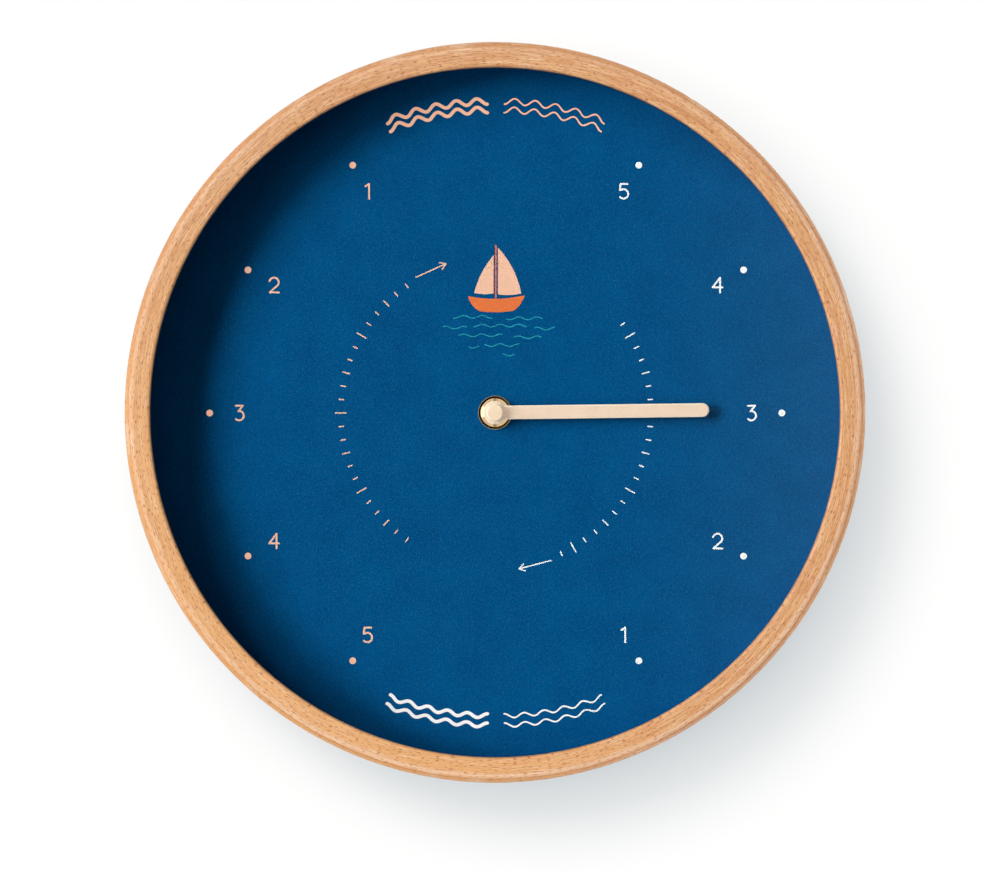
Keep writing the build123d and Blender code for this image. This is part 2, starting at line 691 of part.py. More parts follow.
def cannon_pinion():
    """The pinion pressed onto the centre arbor in front of the centre wheel."""
    bore = CENTRE_ARBOR_RADIUS + PRESS_GAP
    hub_back = centre_back + WHEEL_THICKNESS + END_SHAKE
    hub_front = minute_back + WHEEL_THICKNESS + PINION_OVERHANG
    body = pinion(CANNON_TEETH, CANNON_MODULE, MINUTE_DIRECTION, minute_back, AXIS)
    body += disc(CANNON_HUB_RADIUS, hub_back, hub_front)
    return body - disc(bore, hub_back - OVERRUN, hub_front + OVERRUN)


def clutch_spring():
    """A dished spring washer between the arbor's collar and the centre wheel."""
    inner = CENTRE_ARBOR_RADIUS + RUNNING_CLEARANCE
    back = centre_back - CLUTCH_HEIGHT
    front = centre_back - PRESS_GAP
    return turned(Polyline(
        (inner, back),
        (COLLAR_RADIUS, back),
        (CLUTCH_RADIUS, front - CLUTCH_THICKNESS),
        (CLUTCH_RADIUS, front),
        (COLLAR_RADIUS, back + CLUTCH_THICKNESS),
        (inner, back + CLUTCH_THICKNESS),
        close=True,
    ))


def centre_wheel():
    """The wheel that the train drives once an hour, free to slip on the centre arbor."""
    body = wheel(CENTRE_TEETH, THIRD_MODULE, THIRD_DIRECTION, centre_back, AXIS)
    front = centre_back + WHEEL_THICKNESS
    return body - disc(CENTRE_ARBOR_RADIUS + RUNNING_CLEARANCE, centre_back - OVERRUN, front + OVERRUN)


def third_wheel():
    body = wheel(THIRD_TEETH, SECONDS_MODULE, SECONDS_DIRECTION, third_back, third_place)
    body += pinion(PINION_TEETH, THIRD_MODULE, opposite(THIRD_DIRECTION), centre_back, third_place)
    return body + train_arbor(third_place)


def seconds_wheel():
    body = wheel(SECONDS_TEETH, INTERMEDIATE_MODULE, INTERMEDIATE_DIRECTION, seconds_back, seconds_place)
    body += pinion(PINION_TEETH, SECONDS_MODULE, opposite(SECONDS_DIRECTION), third_back, seconds_place)
    return body + train_arbor(seconds_place)


def intermediate_wheel():
    body = wheel(INTERMEDIATE_TEETH, ROTOR_MODULE, ROTOR_DIRECTION, intermediate_back, intermediate_place)
    body += pinion(
        PINION_TEETH, INTERMEDIATE_MODULE, opposite(INTERMEDIATE_DIRECTION), seconds_back, intermediate_place)
    return body + train_arbor(intermediate_place)


def rotor_pinion():
    body = pinion(PINION_TEETH, ROTOR_MODULE, opposite(ROTOR_DIRECTION), intermediate_back, rotor_place)
    return body + train_arbor(rotor_place)


def rotor_magnet():
    bore = ARBOR_RADIUS + PRESS_GAP
    return tube(MAGNET_RADIUS, bore, magnet_back, magnet_back + MAGNET_THICKNESS, rotor_place)


def stator():
    """The pole plate round the rotor, with a leg to each end of the coil core."""
    low = stator_back
    high = stator_back + STATOR_THICKNESS
    leg_top = coil_height + CORE_WIDTH / 2
    middle = rotor_place[1]
    plate = block(stator_left, stator_right, middle - stator_half, middle + stator_half, low, high)
    plate += block(stator_left, stator_left + STATOR_LEG, middle, leg_top, low, high)
    plate += block(stator_right - STATOR_LEG, stator_right, middle, leg_top, low, high)
    return plate - disc(rotor_hole, low - OVERRUN, high + OVERRUN, rotor_place)


def coil_core():
    half = CORE_WIDTH / 2
    return block(
        stator_left, stator_right, coil_height - half, coil_height + half, core_back, core_back + CORE_THICKNESS)


def around_core(left, right, growth):
    """A box along the coil core, grown by the same amount on its four long sides."""
    half = CORE_WIDTH / 2 + growth
    return block(
        left, right, coil_height - half, coil_height + half,
        core_back - growth, core_back + CORE_THICKNESS + growth)


def coil_bobbin():
    """A moulded spool on the coil core, with a square flange at each end."""
    spool = around_core(bobbin_left, bobbin_right, BOBBIN_SLEEVE)
    for left in (bobbin_left, bobbin_right - BOBBIN_FLANGE):
        spool += around_core(left, left + BOBBIN_FLANGE, flange_growth)
    return spool - around_core(bobbin_left - OVERRUN, bobbin_right + OVERRUN, FIT_GAP)


def coil_winding():
    """The copper winding that fills the spool between its flanges."""
    left = bobbin_left + BOBBIN_FLANGE
    right = bobbin_right - BOBBIN_FLANGE
    coil = around_core(left, right, winding_growth)
    coil = fillet(coil.edges().filter_by(Axis.X), WINDING_ROUND)
    return coil - around_core(left - OVERRUN, right + OVERRUN, BOBBIN_SLEEVE)


def circuit_place(shares):
    """A point on the circuit board, as shares of its width and height."""
    return (circuit_left + shares[0] * CIRCUIT_WIDTH, circuit_bottom + shares[1] * CIRCUIT_HEIGHT)


def circuit_board():
    right = circuit_left + CIRCUIT_WIDTH
    top = circuit_bottom + CIRCUIT_HEIGHT
    return block(circuit_left, right, circuit_bottom, top, circuit_back, circuit_front)


def quartz_crystal():
    """The crystal's can, lying on the circuit board."""
    across, height = circuit_place(CRYSTAL_PLACE_SHARES)
    can = Rot(FULL_TURN / 4, 0, 0) * Cylinder(CRYSTAL_RADIUS, CRYSTAL_LENGTH)
    return Pos(across, height, circuit_front + CRYSTAL_RADIUS + PRESS_GAP) * can


def chip_cover():
    """The moulded drop over the chip."""
    place = circuit_place(CHIP_PLACE_SHARES)
    drop = disc(CHIP_RADIUS, circuit_front, circuit_front + CHIP_HEIGHT, place)
    return fillet(drop.edges().group_by(Axis.Z)[-1], CHIP_HEIGHT / 2)


def contact_levels():
    half = CONTACT_WIDTH / 2
    return battery_level - half, battery_level + half


def positive_contact():
    """A plate at the cell's nub, with a tail along the partition to the circuit board."""
    low, high = contact_levels()
    left = inner_half - CONTACT_THICKNESS
    contact = block(left, inner_half, battery_height - CONTACT_REACH, tail_top, low, high)
    tail_left = circuit_left + CIRCUIT_WIDTH - TAIL_WIDTH
    tail_high = circuit_front + TAIL_WIDTH
    strip_top = partition_top + CONTACT_THICKNESS
    contact += block(tail_left, inner_half, partition_top, strip_top, circuit_front, tail_high)
    return contact + block(
        tail_left, tail_left + TAIL_WIDTH, partition_top, tail_top,
        circuit_front, circuit_front + CONTACT_THICKNESS)


def negative_contact():
    """A folded leaf that presses on the flat end of the cell, with a tab on the circuit board."""
    low, high = contact_levels()
    wall = -inner_half + CONTACT_THICKNESS / 2
    foot = battery_height - CONTACT_REACH
    tip = battery_left - CONTACT_GAP - CONTACT_THICKNESS / 2
    route = Polyline(
        (wall, tail_top),
        (wall, foot),
        (wall + LEAF_FOLD, foot),
        (tip, battery_height),
        (wall + LEAF_FOLD, battery_height + CONTACT_REACH),
    )
    leaf = Pos(0, 0, low) * extrude(trace(route, CONTACT_THICKNESS), high - low)
    return leaf + block(
        -inner_half, circuit_left + TAIL_WIDTH, circuit_bottom, tail_top,
        circuit_front, circuit_front + CONTACT_THICKNESS)


def battery():
    """An AA cell lying in the bay with its nub to the right."""
    can_length = BATTERY_LENGTH - NUB_LENGTH
    lying = Pos(battery_left, battery_height, battery_level) * Rot(0, FULL_TURN / 4, 0)
    can = disc(BATTERY_RADIUS, 0, can_length)
    can = fillet(can.edges().filter_by(GeomType.CIRCLE), BATTERY_ROUND)
    return lying * (can + disc(NUB_RADIUS, can_length - OVERRUN, BATTERY_LENGTH))


def tide_hand():
    """The stamped hand: a round hub, a straight blade with a round tip and bevelled front edges."""
    straight = HAND_LENGTH - HAND_WIDTH / 2
    outline = Circle(HUB_RADIUS)
    outline += Pos(straight / 2, 0) * Rectangle(straight, HAND_WIDTH)
    outline += Pos(straight, 0) * Circle(HAND_WIDTH / 2)
    blade = Pos(0, 0, hand_back) * extrude(outline, HAND_THICKNESS)
    blade = chamfer(blade.edges().group_by(Axis.Z)[-1], HAND_BEVEL)
    blade -= disc(PIPE_RADIUS + PRESS_GAP, hand_back - OVERRUN, hand_front + OVERRUN)
    return Rot(0, 0, HAND_ANGLE) * blade


def hand_cap():
    """The tall cap over the end of the hour pipe."""
    bore_end = pipe_front + CAP_END_GAP
    body = disc(CAP_RADIUS, hand_front, bore_end + CAP_ROOF)
    body = fillet(body.edges().group_by(Axis.Z)[-1], CAP_ROUND)
    return body - disc(PIPE_RADIUS + PRESS_GAP, hand_front - OVERRUN, bore_end)


PIECES = (
    wood_frame,
    glass_lens,
    spacer_ring,
    dial_face,
    dial_board,
    framing_points,
    gasket,
    hanger_bracket,
    dial_washer,
    dial_nut,
    threaded_bushing,
    movement_front_case,
    movement_rear_cover,
    stator,
    coil_core,
    coil_bobbin,
    coil_winding,
    circuit_board,
    quartz_crystal,
    chip_cover,
    positive_contact,
    negative_contact,
    battery,
    rotor_pinion,
    rotor_magnet,
    intermediate_wheel,
    seconds_wheel,
    third_wheel,
    centre_wheel,
    centre_arbor,
    cannon_pinion,
    clutch_spring,
    minute_wheel,
    setting_knob,
    hour_wheel,
    tide_hand,
    hand_cap,
)

os.makedirs("parts", exist_ok=True)
upright = Rot(FULL_TURN / 4, 0, 0)
for piece in PIECES:
    export_step(upright * piece(), f"parts/{piece.__name__}.step")
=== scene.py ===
"""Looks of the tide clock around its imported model: materials, dial print, light and camera.

Sizes are in millimetres. A place on the dial is x to the right and z up from the hand's axis.
"""

import json
import math

import bmesh
import bpy
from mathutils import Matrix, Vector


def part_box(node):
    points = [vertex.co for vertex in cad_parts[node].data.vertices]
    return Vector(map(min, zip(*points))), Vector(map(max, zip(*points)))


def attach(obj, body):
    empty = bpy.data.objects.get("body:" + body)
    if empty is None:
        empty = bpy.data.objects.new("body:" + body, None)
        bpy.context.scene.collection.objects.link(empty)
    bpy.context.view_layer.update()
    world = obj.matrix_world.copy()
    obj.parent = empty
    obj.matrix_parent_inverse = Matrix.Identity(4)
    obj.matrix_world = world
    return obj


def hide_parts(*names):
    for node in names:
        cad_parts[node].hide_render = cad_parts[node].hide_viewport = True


MM = 0.001
FULL_TURN = 360.0
WHITE = (1.0, 1.0, 1.0, 1.0)

# Camera: the picture's scale on the rim's plane, and where its middle lies from the hand's axis
PICTURE_PIXELS = 986
PIXEL_SIZE = 0.40497
RIM_PLANE = 41.2
CAMERA_DISTANCE = 1400.0
CAMERA_SENSOR = 36.0
PICTURE_MIDDLE = (-0.83, -9.56)

# Levels, as distances from the wall
DIAL_LEVEL = 25.1
COVER_LEVEL = 4.3

# Ink: how far it stands proud of the paper and reaches into it, and the step between tops that cross
INK_PROUD = 0.06
INK_SUNK = 0.03
INK_STEP = 0.004
INK_LEVELS = 4
CAP_STEPS = 8
PRINT_SHIFT = (0.32, -0.14)

# Hour dots and numerals, with the angle of each hour
DOT_CIRCLE = 117.2
DOT_RADIUS = 1.375
DOT_STEPS = 32
NUMERAL_CIRCLE = 104.9
NUMERAL_STROKE = 0.74
LEFT_HOURS = {"1": 120, "2": 150, "3": 180, "4": 210, "5": 240}
RIGHT_HOURS = {"5": 60, "4": 30, "3": 0, "2": 330, "1": 300}

# Figures as lines about their middle. BOWL stands for a figure's round part: its centre and two angles.
TOP = 2.98
FOOT = -3.03
BOWL = "bowl"
BOWL_RADIUS = 1.92
BOWL_STEPS = 28
BOWLS = {
    "2": ((0.0, 1.08), 165, -38),
    "3": ((-0.26, -1.09), 92, -133),
    "5": ((-0.16, -1.1), 122, -137),
}
FIGURES = {
    "1": (((0.55, FOOT), (0.55, TOP)), ((0.55, TOP), (-0.95, 2.0))),
    "2": ((BOWL, (-1.75, FOOT)), ((-1.75, FOOT), (1.95, FOOT))),
    "3": (((-1.6, TOP), (1.3, TOP)), ((1.3, TOP), (-0.56, 0.7)), ((-0.56, 0.7), BOWL)),
    "4": (((1.02, FOOT), (1.02, TOP)), ((1.02, TOP), (-1.99, -0.96)), ((-1.99, -0.96), (1.99, -0.96))),
    "5": (((1.48, TOP), (-1.34, TOP)), ((-1.34, TOP), (-1.62, 0.5)), ((-1.62, 0.5), BOWL)),
}

# Wave ornaments over and under the middle
WAVE_CIRCLE = 126.0
WAVE_HALF = 20.5
WAVE_GAP = 1.6
WAVE_CRESTS = 5
WAVE_STEPS = 100
BOLD_STROKE = 1.4
LIGHT_STROKE = 0.66
HIGH_MIDDLE = 90
HIGH_WAVE = 1.2
HIGH_ROWS = (-1.75, 1.75)
LOW_MIDDLE = 270
LOW_WAVE = 0.85
LOW_ROWS = (-1.9, 1.9)

# Scales of the last hours, each with an arrow at its end. A tick takes the first length whose step fits it.
SCALE_CIRCLE = 63.5
SCALE_STEP = 5
SCALE_STROKE = 0.5
TICKS = ((30, 2.1), (15, 1.45), (SCALE_STEP, 0.9))
LEFT_SCALE = (235, 125)
RIGHT_SCALE = (35, -65)
ARROW_LIFT = 1.0
ARROW_REACH = (4.5, 16.5)
ARROW_HEAD = 2.7
ARROW_SIDES = (-33, 33)

# Boat above the middle, from its waterline: corners, each with the bow of the side that leaves it
BOAT_PLACE = (0.0, 46.0)
HULL = (((-11.4, 1.9), 0.9), ((-6.6, -4.3), 0.5), ((7.4, -4.1), 0.6), ((11.9, 2.3), -1.3))
MAST = ((0.0, 1.25), (0.0, 22.6))
MAST_STROKE = 0.6
SAILS = (
    (((0.9, 2.6), 0.5), ((10.4, 3.0), 1.5), ((0.9, 21.8), 0.0)),
    (((-0.9, 3.0), 0.0), ((-0.9, 18.6), 1.0), ((-8.9, 3.2), 0.4)),
)
BOW_STEPS = 12

# Ripples under the boat: where each starts and ends, and its height
RIPPLE_STROKE = 0.46
RIPPLE_HEIGHT = 0.55
RIPPLE_WAVE = 7.5
RIPPLE_STEP = 0.5
RIPPLES = (
    (-17.5, -1.5, -6.6), (4.5, 19.0, -7.2),
    (-9.0, 12.5, -10.2), (-21.5, -12.0, -11.0), (16.0, 24.0, -11.4),
    (-15.0, 2.5, -14.2), (7.5, 18.5, -15.0),
    (-4.5, 9.5, -18.2), (-11.0, -7.0, -18.8), (3.0, 7.5, -22.0),
)

# Washer under the nut: its hole, the round of its front edge, and how finely it is turned
WASHER_HOLE = 4.2
WASHER_ROUND = 0.2
WASHER_STEPS = 160
WASHER_CREASE = 30

# Raised marks on the movement's cover: the setting arrow round the knob and the signs of the cell's poles
MARK_PROUD = 0.4
MARK_SUNK = 0.1
MARK_STROKE = 0.8
KNOB_PLACE = (10.44, 1.84)
SET_CIRCLE = 7.6
SET_ARC = (35, 145)
SET_HEAD = 1.9
SET_SIDES = (40, -40)
PLUS_PLACE = (19.5, -8.0)
MINUS_PLACE = (-19.5, -8.0)
SIGN_HALF = 1.6


# Outlines

def polar(radius, degrees):
    return radius * math.cos(math.radians(degrees)), radius * math.sin(math.radians(degrees))


def moved(points, place):
    return [(x + place[0], z + place[1]) for x, z in points]


def arc(centre, radius, start, end, steps):
    turn = (end - start) / steps
    return moved([polar(radius, start + turn * i) for i in range(steps + 1)], centre)


def bowed(corners):
    """A closed edge of corners, each side bowed outwards by the amount that follows its first corner."""
    edge = []
    for i, ((x0, z0), bow) in enumerate(corners):
        x1, z1 = corners[(i + 1) % len(corners)][0]
        span = math.hypot(x1 - x0, z1 - z0)
        for t in (s / BOW_STEPS for s in range(BOW_STEPS)):
            out = 4 * bow * t * (1 - t) / span
            edge.append((x0 + (x1 - x0) * t + (z1 - z0) * out, z0 + (z1 - z0) * t - (x1 - x0) * out))
    return edge


def cap(centre, start):
    """The points of a half turn about centre, from start on."""
    reach = math.hypot(start[0] - centre[0], start[1] - centre[1])
    first = math.degrees(math.atan2(start[1] - centre[1], start[0] - centre[0]))
    return arc(centre, reach, first, first + FULL_TURN / 2, CAP_STEPS)[1:-1]


def stroke(points, width):
    """The closed edge of a round-ended line of that width."""
    left, right = [], []
    for i, (x, z) in enumerate(points):
        (x0, z0), (x1, z1) = points[max(i - 1, 0)], points[min(i + 1, len(points) - 1)]
        share = width / 2 / math.hypot(x1 - x0, z1 - z0)
        left.append((x - (z1 - z0) * share, z + (x1 - x0) * share))
        right.append((x + (z1 - z0) * share, z - (x1 - x0) * share))
    return right + cap(points[-1], right[-1]) + left[::-1] + cap(points[0], left[0])


def disc(centre, radius):
    return arc(centre, radius, 0, FULL_TURN, DOT_STEPS)[:-1]


def numeral(figure):
    """The lines of one figure, about its middle."""
    lines = []
    for line in FIGURES[figure]:
        points = []
        for point in line:
            if point == BOWL:
                centre, start, end = BOWLS[figure]
                points += arc(centre, BOWL_RADIUS, start, end, BOWL_STEPS)
            else:
                points.append(point)
        lines.append(points)
    return lines


def numerals(hours):
    lines = []
    for figure, angle in hours.items():
        lines += [moved(line, polar(NUMERAL_CIRCLE, angle)) for line in numeral(figure)]
    return [stroke(line, NUMERAL_STROKE) for line in lines]


def dots(hours):
    return [disc(polar(DOT_CIRCLE, angle), DOT_RADIUS) for angle in hours.values()]


def waves(middle, height, rows, turning):
    """A bold run of crests and a light one, read from left to right about the angle middle."""
    edges = []
    runs = ((BOLD_STROKE, -WAVE_HALF, -WAVE_GAP), (LIGHT_STROKE, WAVE_GAP, WAVE_HALF))
    for width, start, end in runs:
        for row in rows:
            line = []
            for i in range(WAVE_STEPS + 1):
                share = i / WAVE_STEPS
                lift = -height * math.cos(2 * math.pi * WAVE_CRESTS * share)
                angle = middle + turning * (start + (end - start) * share)
                line.append(polar(WAVE_CIRCLE + row + lift, angle))
            edges.append(stroke(line, width))
    return edges


def barbs(tip, length, back, sides):
    """The short lines of an arrow's head, at those angles to the direction back from its tip."""
    return [[tip, *moved([polar(length, back + side)], tip)] for side in sides]


def scale_marks(start, end):
    """Ticks along the inner circle, and an arrow that goes on from the last one."""
    marks = []
    for angle in range(start, end - 1, -SCALE_STEP):
        reach = next(length for step, length in TICKS if angle % step == 0)
        marks.append([polar(SCALE_CIRCLE - reach, angle), polar(SCALE_CIRCLE + reach, angle)])
    tail, tip = (polar(SCALE_CIRCLE + ARROW_LIFT, end - reach) for reach in ARROW_REACH)
    back = math.degrees(math.atan2(tail[1] - tip[1], tail[0] - tip[0]))
    marks.append([tail, tip])
    marks += barbs(tip, ARROW_HEAD, back, ARROW_SIDES)
    return [stroke(mark, SCALE_STROKE) for mark in marks]


def ripples():
    edges = []
    for start, end, height in RIPPLES:
        steps = round((end - start) / RIPPLE_STEP)
        places = [start + (end - start) * i / steps for i in range(steps + 1)]
        line = [(x, height + RIPPLE_HEIGHT * math.sin(2 * math.pi * x / RIPPLE_WAVE)) for x in places]
        edges.append(stroke(moved(line, BOAT_PLACE), RIPPLE_STROKE))
    return edges


# Pieces

def linked(name, data):
    made = bpy.data.objects.new(name, data)
    bpy.context.scene.collection.objects.link(made)
    return made


def on_case(name, mesh, finish):
    """A piece of that mesh and finish that rides on the case."""
    mesh.materials.append(finish)
    piece = linked(name, mesh)
    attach(piece, "case")
    return piece


def raised(name, edges, finish, base, top):
    """One piece of thin closed plates with those edges, from level base to a little under level top."""
    points, faces = [], []
    for n, edge in enumerate(edges):
        area = sum(a[0] * b[1] - b[0] * a[1] for a, b in zip(edge, edge[1:] + edge[:1]))
        loop = edge if (area > 0) == (top > base) else edge[::-1]
        front = top - math.copysign(INK_STEP * (n % INK_LEVELS), top - base)
        first, count = len(points), len(loop)
        points += [(x * MM, -level * MM, z * MM) for level in (front, base) for x, z in loop]
        faces.append(list(range(first, first + count)))
        faces.append(list(range(first + 2 * count - 1, first + count - 1, -1)))
        for i in range(count):
            j = (i + 1) % count
            faces.append([first + j, first + i, first + count + i, first + count + j])
    mesh = bpy.data.meshes.new(name)
    mesh.from_pydata(points, [], faces)
    return on_case(name, mesh, finish)


def printed(name, edges, ink):
    shifted = [moved(edge, PRINT_SHIFT) for edge in edges]
    return raised(name, shifted, ink, DIAL_LEVEL - INK_SUNK, DIAL_LEVEL + INK_PROUD)


def dial_print(inks):
    yield printed("print_dots_left", dots(LEFT_HOURS), inks["peach"])
    yield printed("print_dots_right", dots(RIGHT_HOURS), inks["white"])
    yield printed("print_numerals_left", numerals(LEFT_HOURS), inks["peach"])
    yield printed("print_numerals_right", numerals(RIGHT_HOURS), inks["white"])
    yield printed("print_waves_high", waves(HIGH_MIDDLE, HIGH_WAVE, HIGH_ROWS, -1), inks["peach"])
    yield printed("print_waves_low", waves(LOW_MIDDLE, LOW_WAVE, LOW_ROWS, 1), inks["white"])
    yield printed("print_scale_left", scale_marks(*LEFT_SCALE), inks["peach"])
    yield printed("print_scale_right", scale_marks(*RIGHT_SCALE), inks["white"])
    yield printed("print_boat_hull", [moved(bowed(HULL), BOAT_PLACE)], inks["orange"])
    yield printed("print_boat_mast", [stroke(moved(MAST, BOAT_PLACE), MAST_STROKE)], inks["orange"])
    yield printed("print_boat_sails", [moved(bowed(sail), BOAT_PLACE) for sail in SAILS], inks["peach"])
    yield printed("print_ripples", ripples(), inks["teal"])


def cover_marks(finish):
    """A setting arrow round the knob, and the signs of the cell's poles."""
    line = arc(KNOB_PLACE, SET_CIRCLE, *SET_ARC, BOWL_STEPS)
    arrow = [line, *barbs(line[-1], SET_HEAD, SET_ARC[1] - FULL_TURN / 4, SET_SIDES)]
    level = [(-SIGN_HALF, 0.0), (SIGN_HALF, 0.0)]
    upright = [(z, x) for x, z in level]
    signs = [moved(level, MINUS_PLACE), moved(level, PLUS_PLACE), moved(upright, PLUS_PLACE)]
    for name, lines in {"cover_set_arrow": arrow, "cover_pole_signs": signs}.items():
        edges = [stroke(drawn, MARK_STROKE) for drawn in lines]
        piece = raised(name, edges, finish, COVER_LEVEL + MARK_SUNK, COVER_LEVEL - MARK_PROUD)


def washer(finish):
    """The washer under the nut, turned finely enough for its rounded edge to shine without a break."""
    low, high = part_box("dial_washer")
    radius, back, front = high[0] / MM, -high[1] / MM, -low[1] / MM
    middle = (radius - WASHER_ROUND, front - WASHER_ROUND)
    edge = arc(middle, WASHER_ROUND, 0, FULL_TURN / 4, CAP_STEPS)
    profile = [(WASHER_HOLE, back), (radius, back), *edge, (WASHER_HOLE, front)]
    shape = bmesh.new()
    rings = []
    for i in range(WASHER_STEPS):
        spots = [polar(reach, FULL_TURN * i / WASHER_STEPS) + (level,) for reach, level in profile]
        rings.append([shape.verts.new((x * MM, -level * MM, z * MM)) for x, z, level in spots])
    for i, ring in enumerate(rings):
        for k in range(len(profile)):
            shape.faces.new((rings[i - 1][k - 1], ring[k - 1], ring[k], rings[i - 1][k])).smooth = True
    bmesh.ops.recalc_face_normals(shape, faces=shape.faces)
    mesh = bpy.data.meshes.new("washer")
    shape.to_mesh(mesh)
    shape.free()
    mesh.set_sharp_from_angle(angle=math.radians(WASHER_CREASE))
    piece = on_case("washer", mesh, finish)
    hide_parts("dial_washer")
    return piece


# Materials. A noise is given as the sizes of its cells and its detail, a relief as its depth and strength,
# and a span as the values between which something comes in.

NOISE_SPAN = (0.3, 0.7)


def srgb(red, green, blue):
    """A colour written in picture values, as the linear colour that a shader takes."""
    shares = [v / 255 for v in (red, green, blue)]
    return tuple(s / 12.92 if s <= 0.04045 else ((s + 0.055) / 1.055) ** 2.4 for s in shares) + (1.0,)


def even(size):
    return (size, size, size)


class Paint:
    """The nodes of a material or a world under way, with short calls for those that the finishes share."""

    def __init__(self, owner):
        self.owner = owner
        owner.use_nodes = True
        self.tree = owner.node_tree
        self.tree.nodes.clear()

    def node(self, kind, values, **settings):
        made = self.tree.nodes.new(kind)
        for name, setting in settings.items():
            setattr(made, name, setting)
        for key, value in values.items():
            if isinstance(value, bpy.types.NodeSocket):
                self.tree.links.new(value, made.inputs[key])
            else:
                made.inputs[key].default_value = value
        return made

    def place(self):
        return self.node("ShaderNodeTexCoord", {}).outputs["Object"]

    def facing(self):
        """How far a face looks along the hand's axis, from 0 to 1."""
        normal = self.node("ShaderNodeTexCoord", {}).outputs["Normal"]
        return self.maths("ABSOLUTE", self.parts(normal)[1])

    def backfacing(self):
        return self.node("ShaderNodeNewGeometry", {}).outputs["Backfacing"]

    def parts(self, vector):
        return self.node("ShaderNodeSeparateXYZ", {0: vector}).outputs

    def whole(self, x, y, z):
        return self.node("ShaderNodeCombineXYZ", {0: x, 1: y, 2: z}).outputs[0]

    def maths(self, operation, a, b=0.0, c=0.0):
        return self.node("ShaderNodeMath", {0: a, 1: b, 2: c}, operation=operation).outputs[0]

    def length(self, vector):
        return self.node("ShaderNodeVectorMath", {0: vector}, operation="LENGTH").outputs["Value"]

    def noise(self, vector, sizes, detail):
        counts = {0: vector, 1: tuple(1 / (size * MM) for size in sizes)}
        cells = self.node("ShaderNodeVectorMath", counts, operation="MULTIPLY").outputs["Vector"]
        values = {"Vector": cells, "Scale": 1.0, "Detail": detail}
        return self.node("ShaderNodeTexNoise", values).outputs["Fac"]

    def ripple(self, value, pitch):
        """A sine wave along the value."""
        return self.maths("SINE", self.maths("MULTIPLY", value, 2 * math.pi / (pitch * MM)))

    def mixed(self, first, second, share):
        """The two values together, the first with that share."""
        return self.maths("MULTIPLY_ADD", first, share, self.maths("MULTIPLY", second, 1 - share))

    def spread(self, value, start, end, low=0.0, high=1.0):
        """The value from start to end, taken to low to high and held there."""
        values = {"Value": value, "From Min": start, "From Max": end, "To Min": low, "To Max": high}
        return self.node("ShaderNodeMapRange", values).outputs[0]

    def near(self, value, place, fade, weight):
        """That weight as far from the place as fade's first distance, and nothing past its second."""
        apart = self.maths("ABSOLUTE", self.maths("SUBTRACT", value, place * MM))
        return self.spread(apart, *(edge * MM for edge in fade), weight, 0.0)

    def before(self, y, levels):
        """1 in front of the first level, and 0 behind the second."""
        return self.spread(y, *(-level * MM for level in levels), 1.0, 0.0)

    def within(self, value, ends):
        """1 between the two ends, and 0 elsewhere."""
        start, end = (edge * MM for edge in ends)
        above = self.maths("GREATER_THAN", value, start)
        return self.maths("MULTIPLY", above, self.maths("LESS_THAN", value, end))

    def tint(self, share, first, second, mode="MIX"):
        values = {0: share, 6: first, 7: second}
        return self.node("ShaderNodeMix", values, data_type="RGBA", blend_type=mode).outputs[2]

    def bump(self, height, depth, strength):
        values = {"Height": height, "Distance": depth * MM, "Strength": strength}
        return self.node("ShaderNodeBump", values).outputs["Normal"]

    def finish(self, shader):
        out = self.node("ShaderNodeOutputMaterial", {"Surface": shader.outputs[0]})
        out.is_active_output = True
        return self.owner

    def surface(self, values):
        return self.finish(self.node("ShaderNodeBsdfPrincipled", values))


def paint(name):
    return Paint(bpy.data.materials.new(f"{name}_finish"))


BEECH_RADIUS = 145.0
BEECH_PALE = srgb(234, 179, 126)
BEECH_DEEP = srgb(203, 136, 79)
BEECH_SPAN = (0.36, 0.64)
BEECH_STREAK = ((60.0, 1.8, 1.0), 4.0)
BEECH_STREAK_SHARE = 0.4
BEECH_FIBRE = ((11.0, 0.6, 1.0), 3.0)
BEECH_FLECK = ((2.0, 0.42, 1.0), 0.0)
BEECH_FLECK_COLOUR = srgb(164, 80, 26)
BEECH_FLECK_SPAN = (0.58, 0.76)
BEECH_FLECK_WEIGHT = 0.7
BEECH_SHEEN = ((14.0, 0.58, 1.0), 1.0)
BEECH_SHEEN_COLOUR = srgb(245, 212, 176)
BEECH_SHEEN_SPAN = (0.55, 0.72)
BEECH_SHEEN_WEIGHT = 0.6
BEECH_BLUSH = ((12.0, 2.0, 1.0), 2.0)
BEECH_BLUSH_COLOUR = srgb(212, 140, 96)
BEECH_BLUSH_SPAN = (0.5, 0.7)
BEECH_BLUSH_WEIGHT = 0.5
# Painted light: the hoop's face is tinted brighter towards the lower left, where more light falls
BEECH_LOWER_LEFT_LIGHT_COLOUR = srgb(246, 182, 111)
BEECH_LOWER_LEFT_LIGHT_SPAN = (-1.2, -0.1)
BEECH_LOWER_LEFT_LIGHT_WEIGHT = 0.45
BEECH_ROUGHNESS = (0.38, 0.5)
BEECH_GLOSS = 0.5
BEECH_RELIEF = (0.04, 0.25)

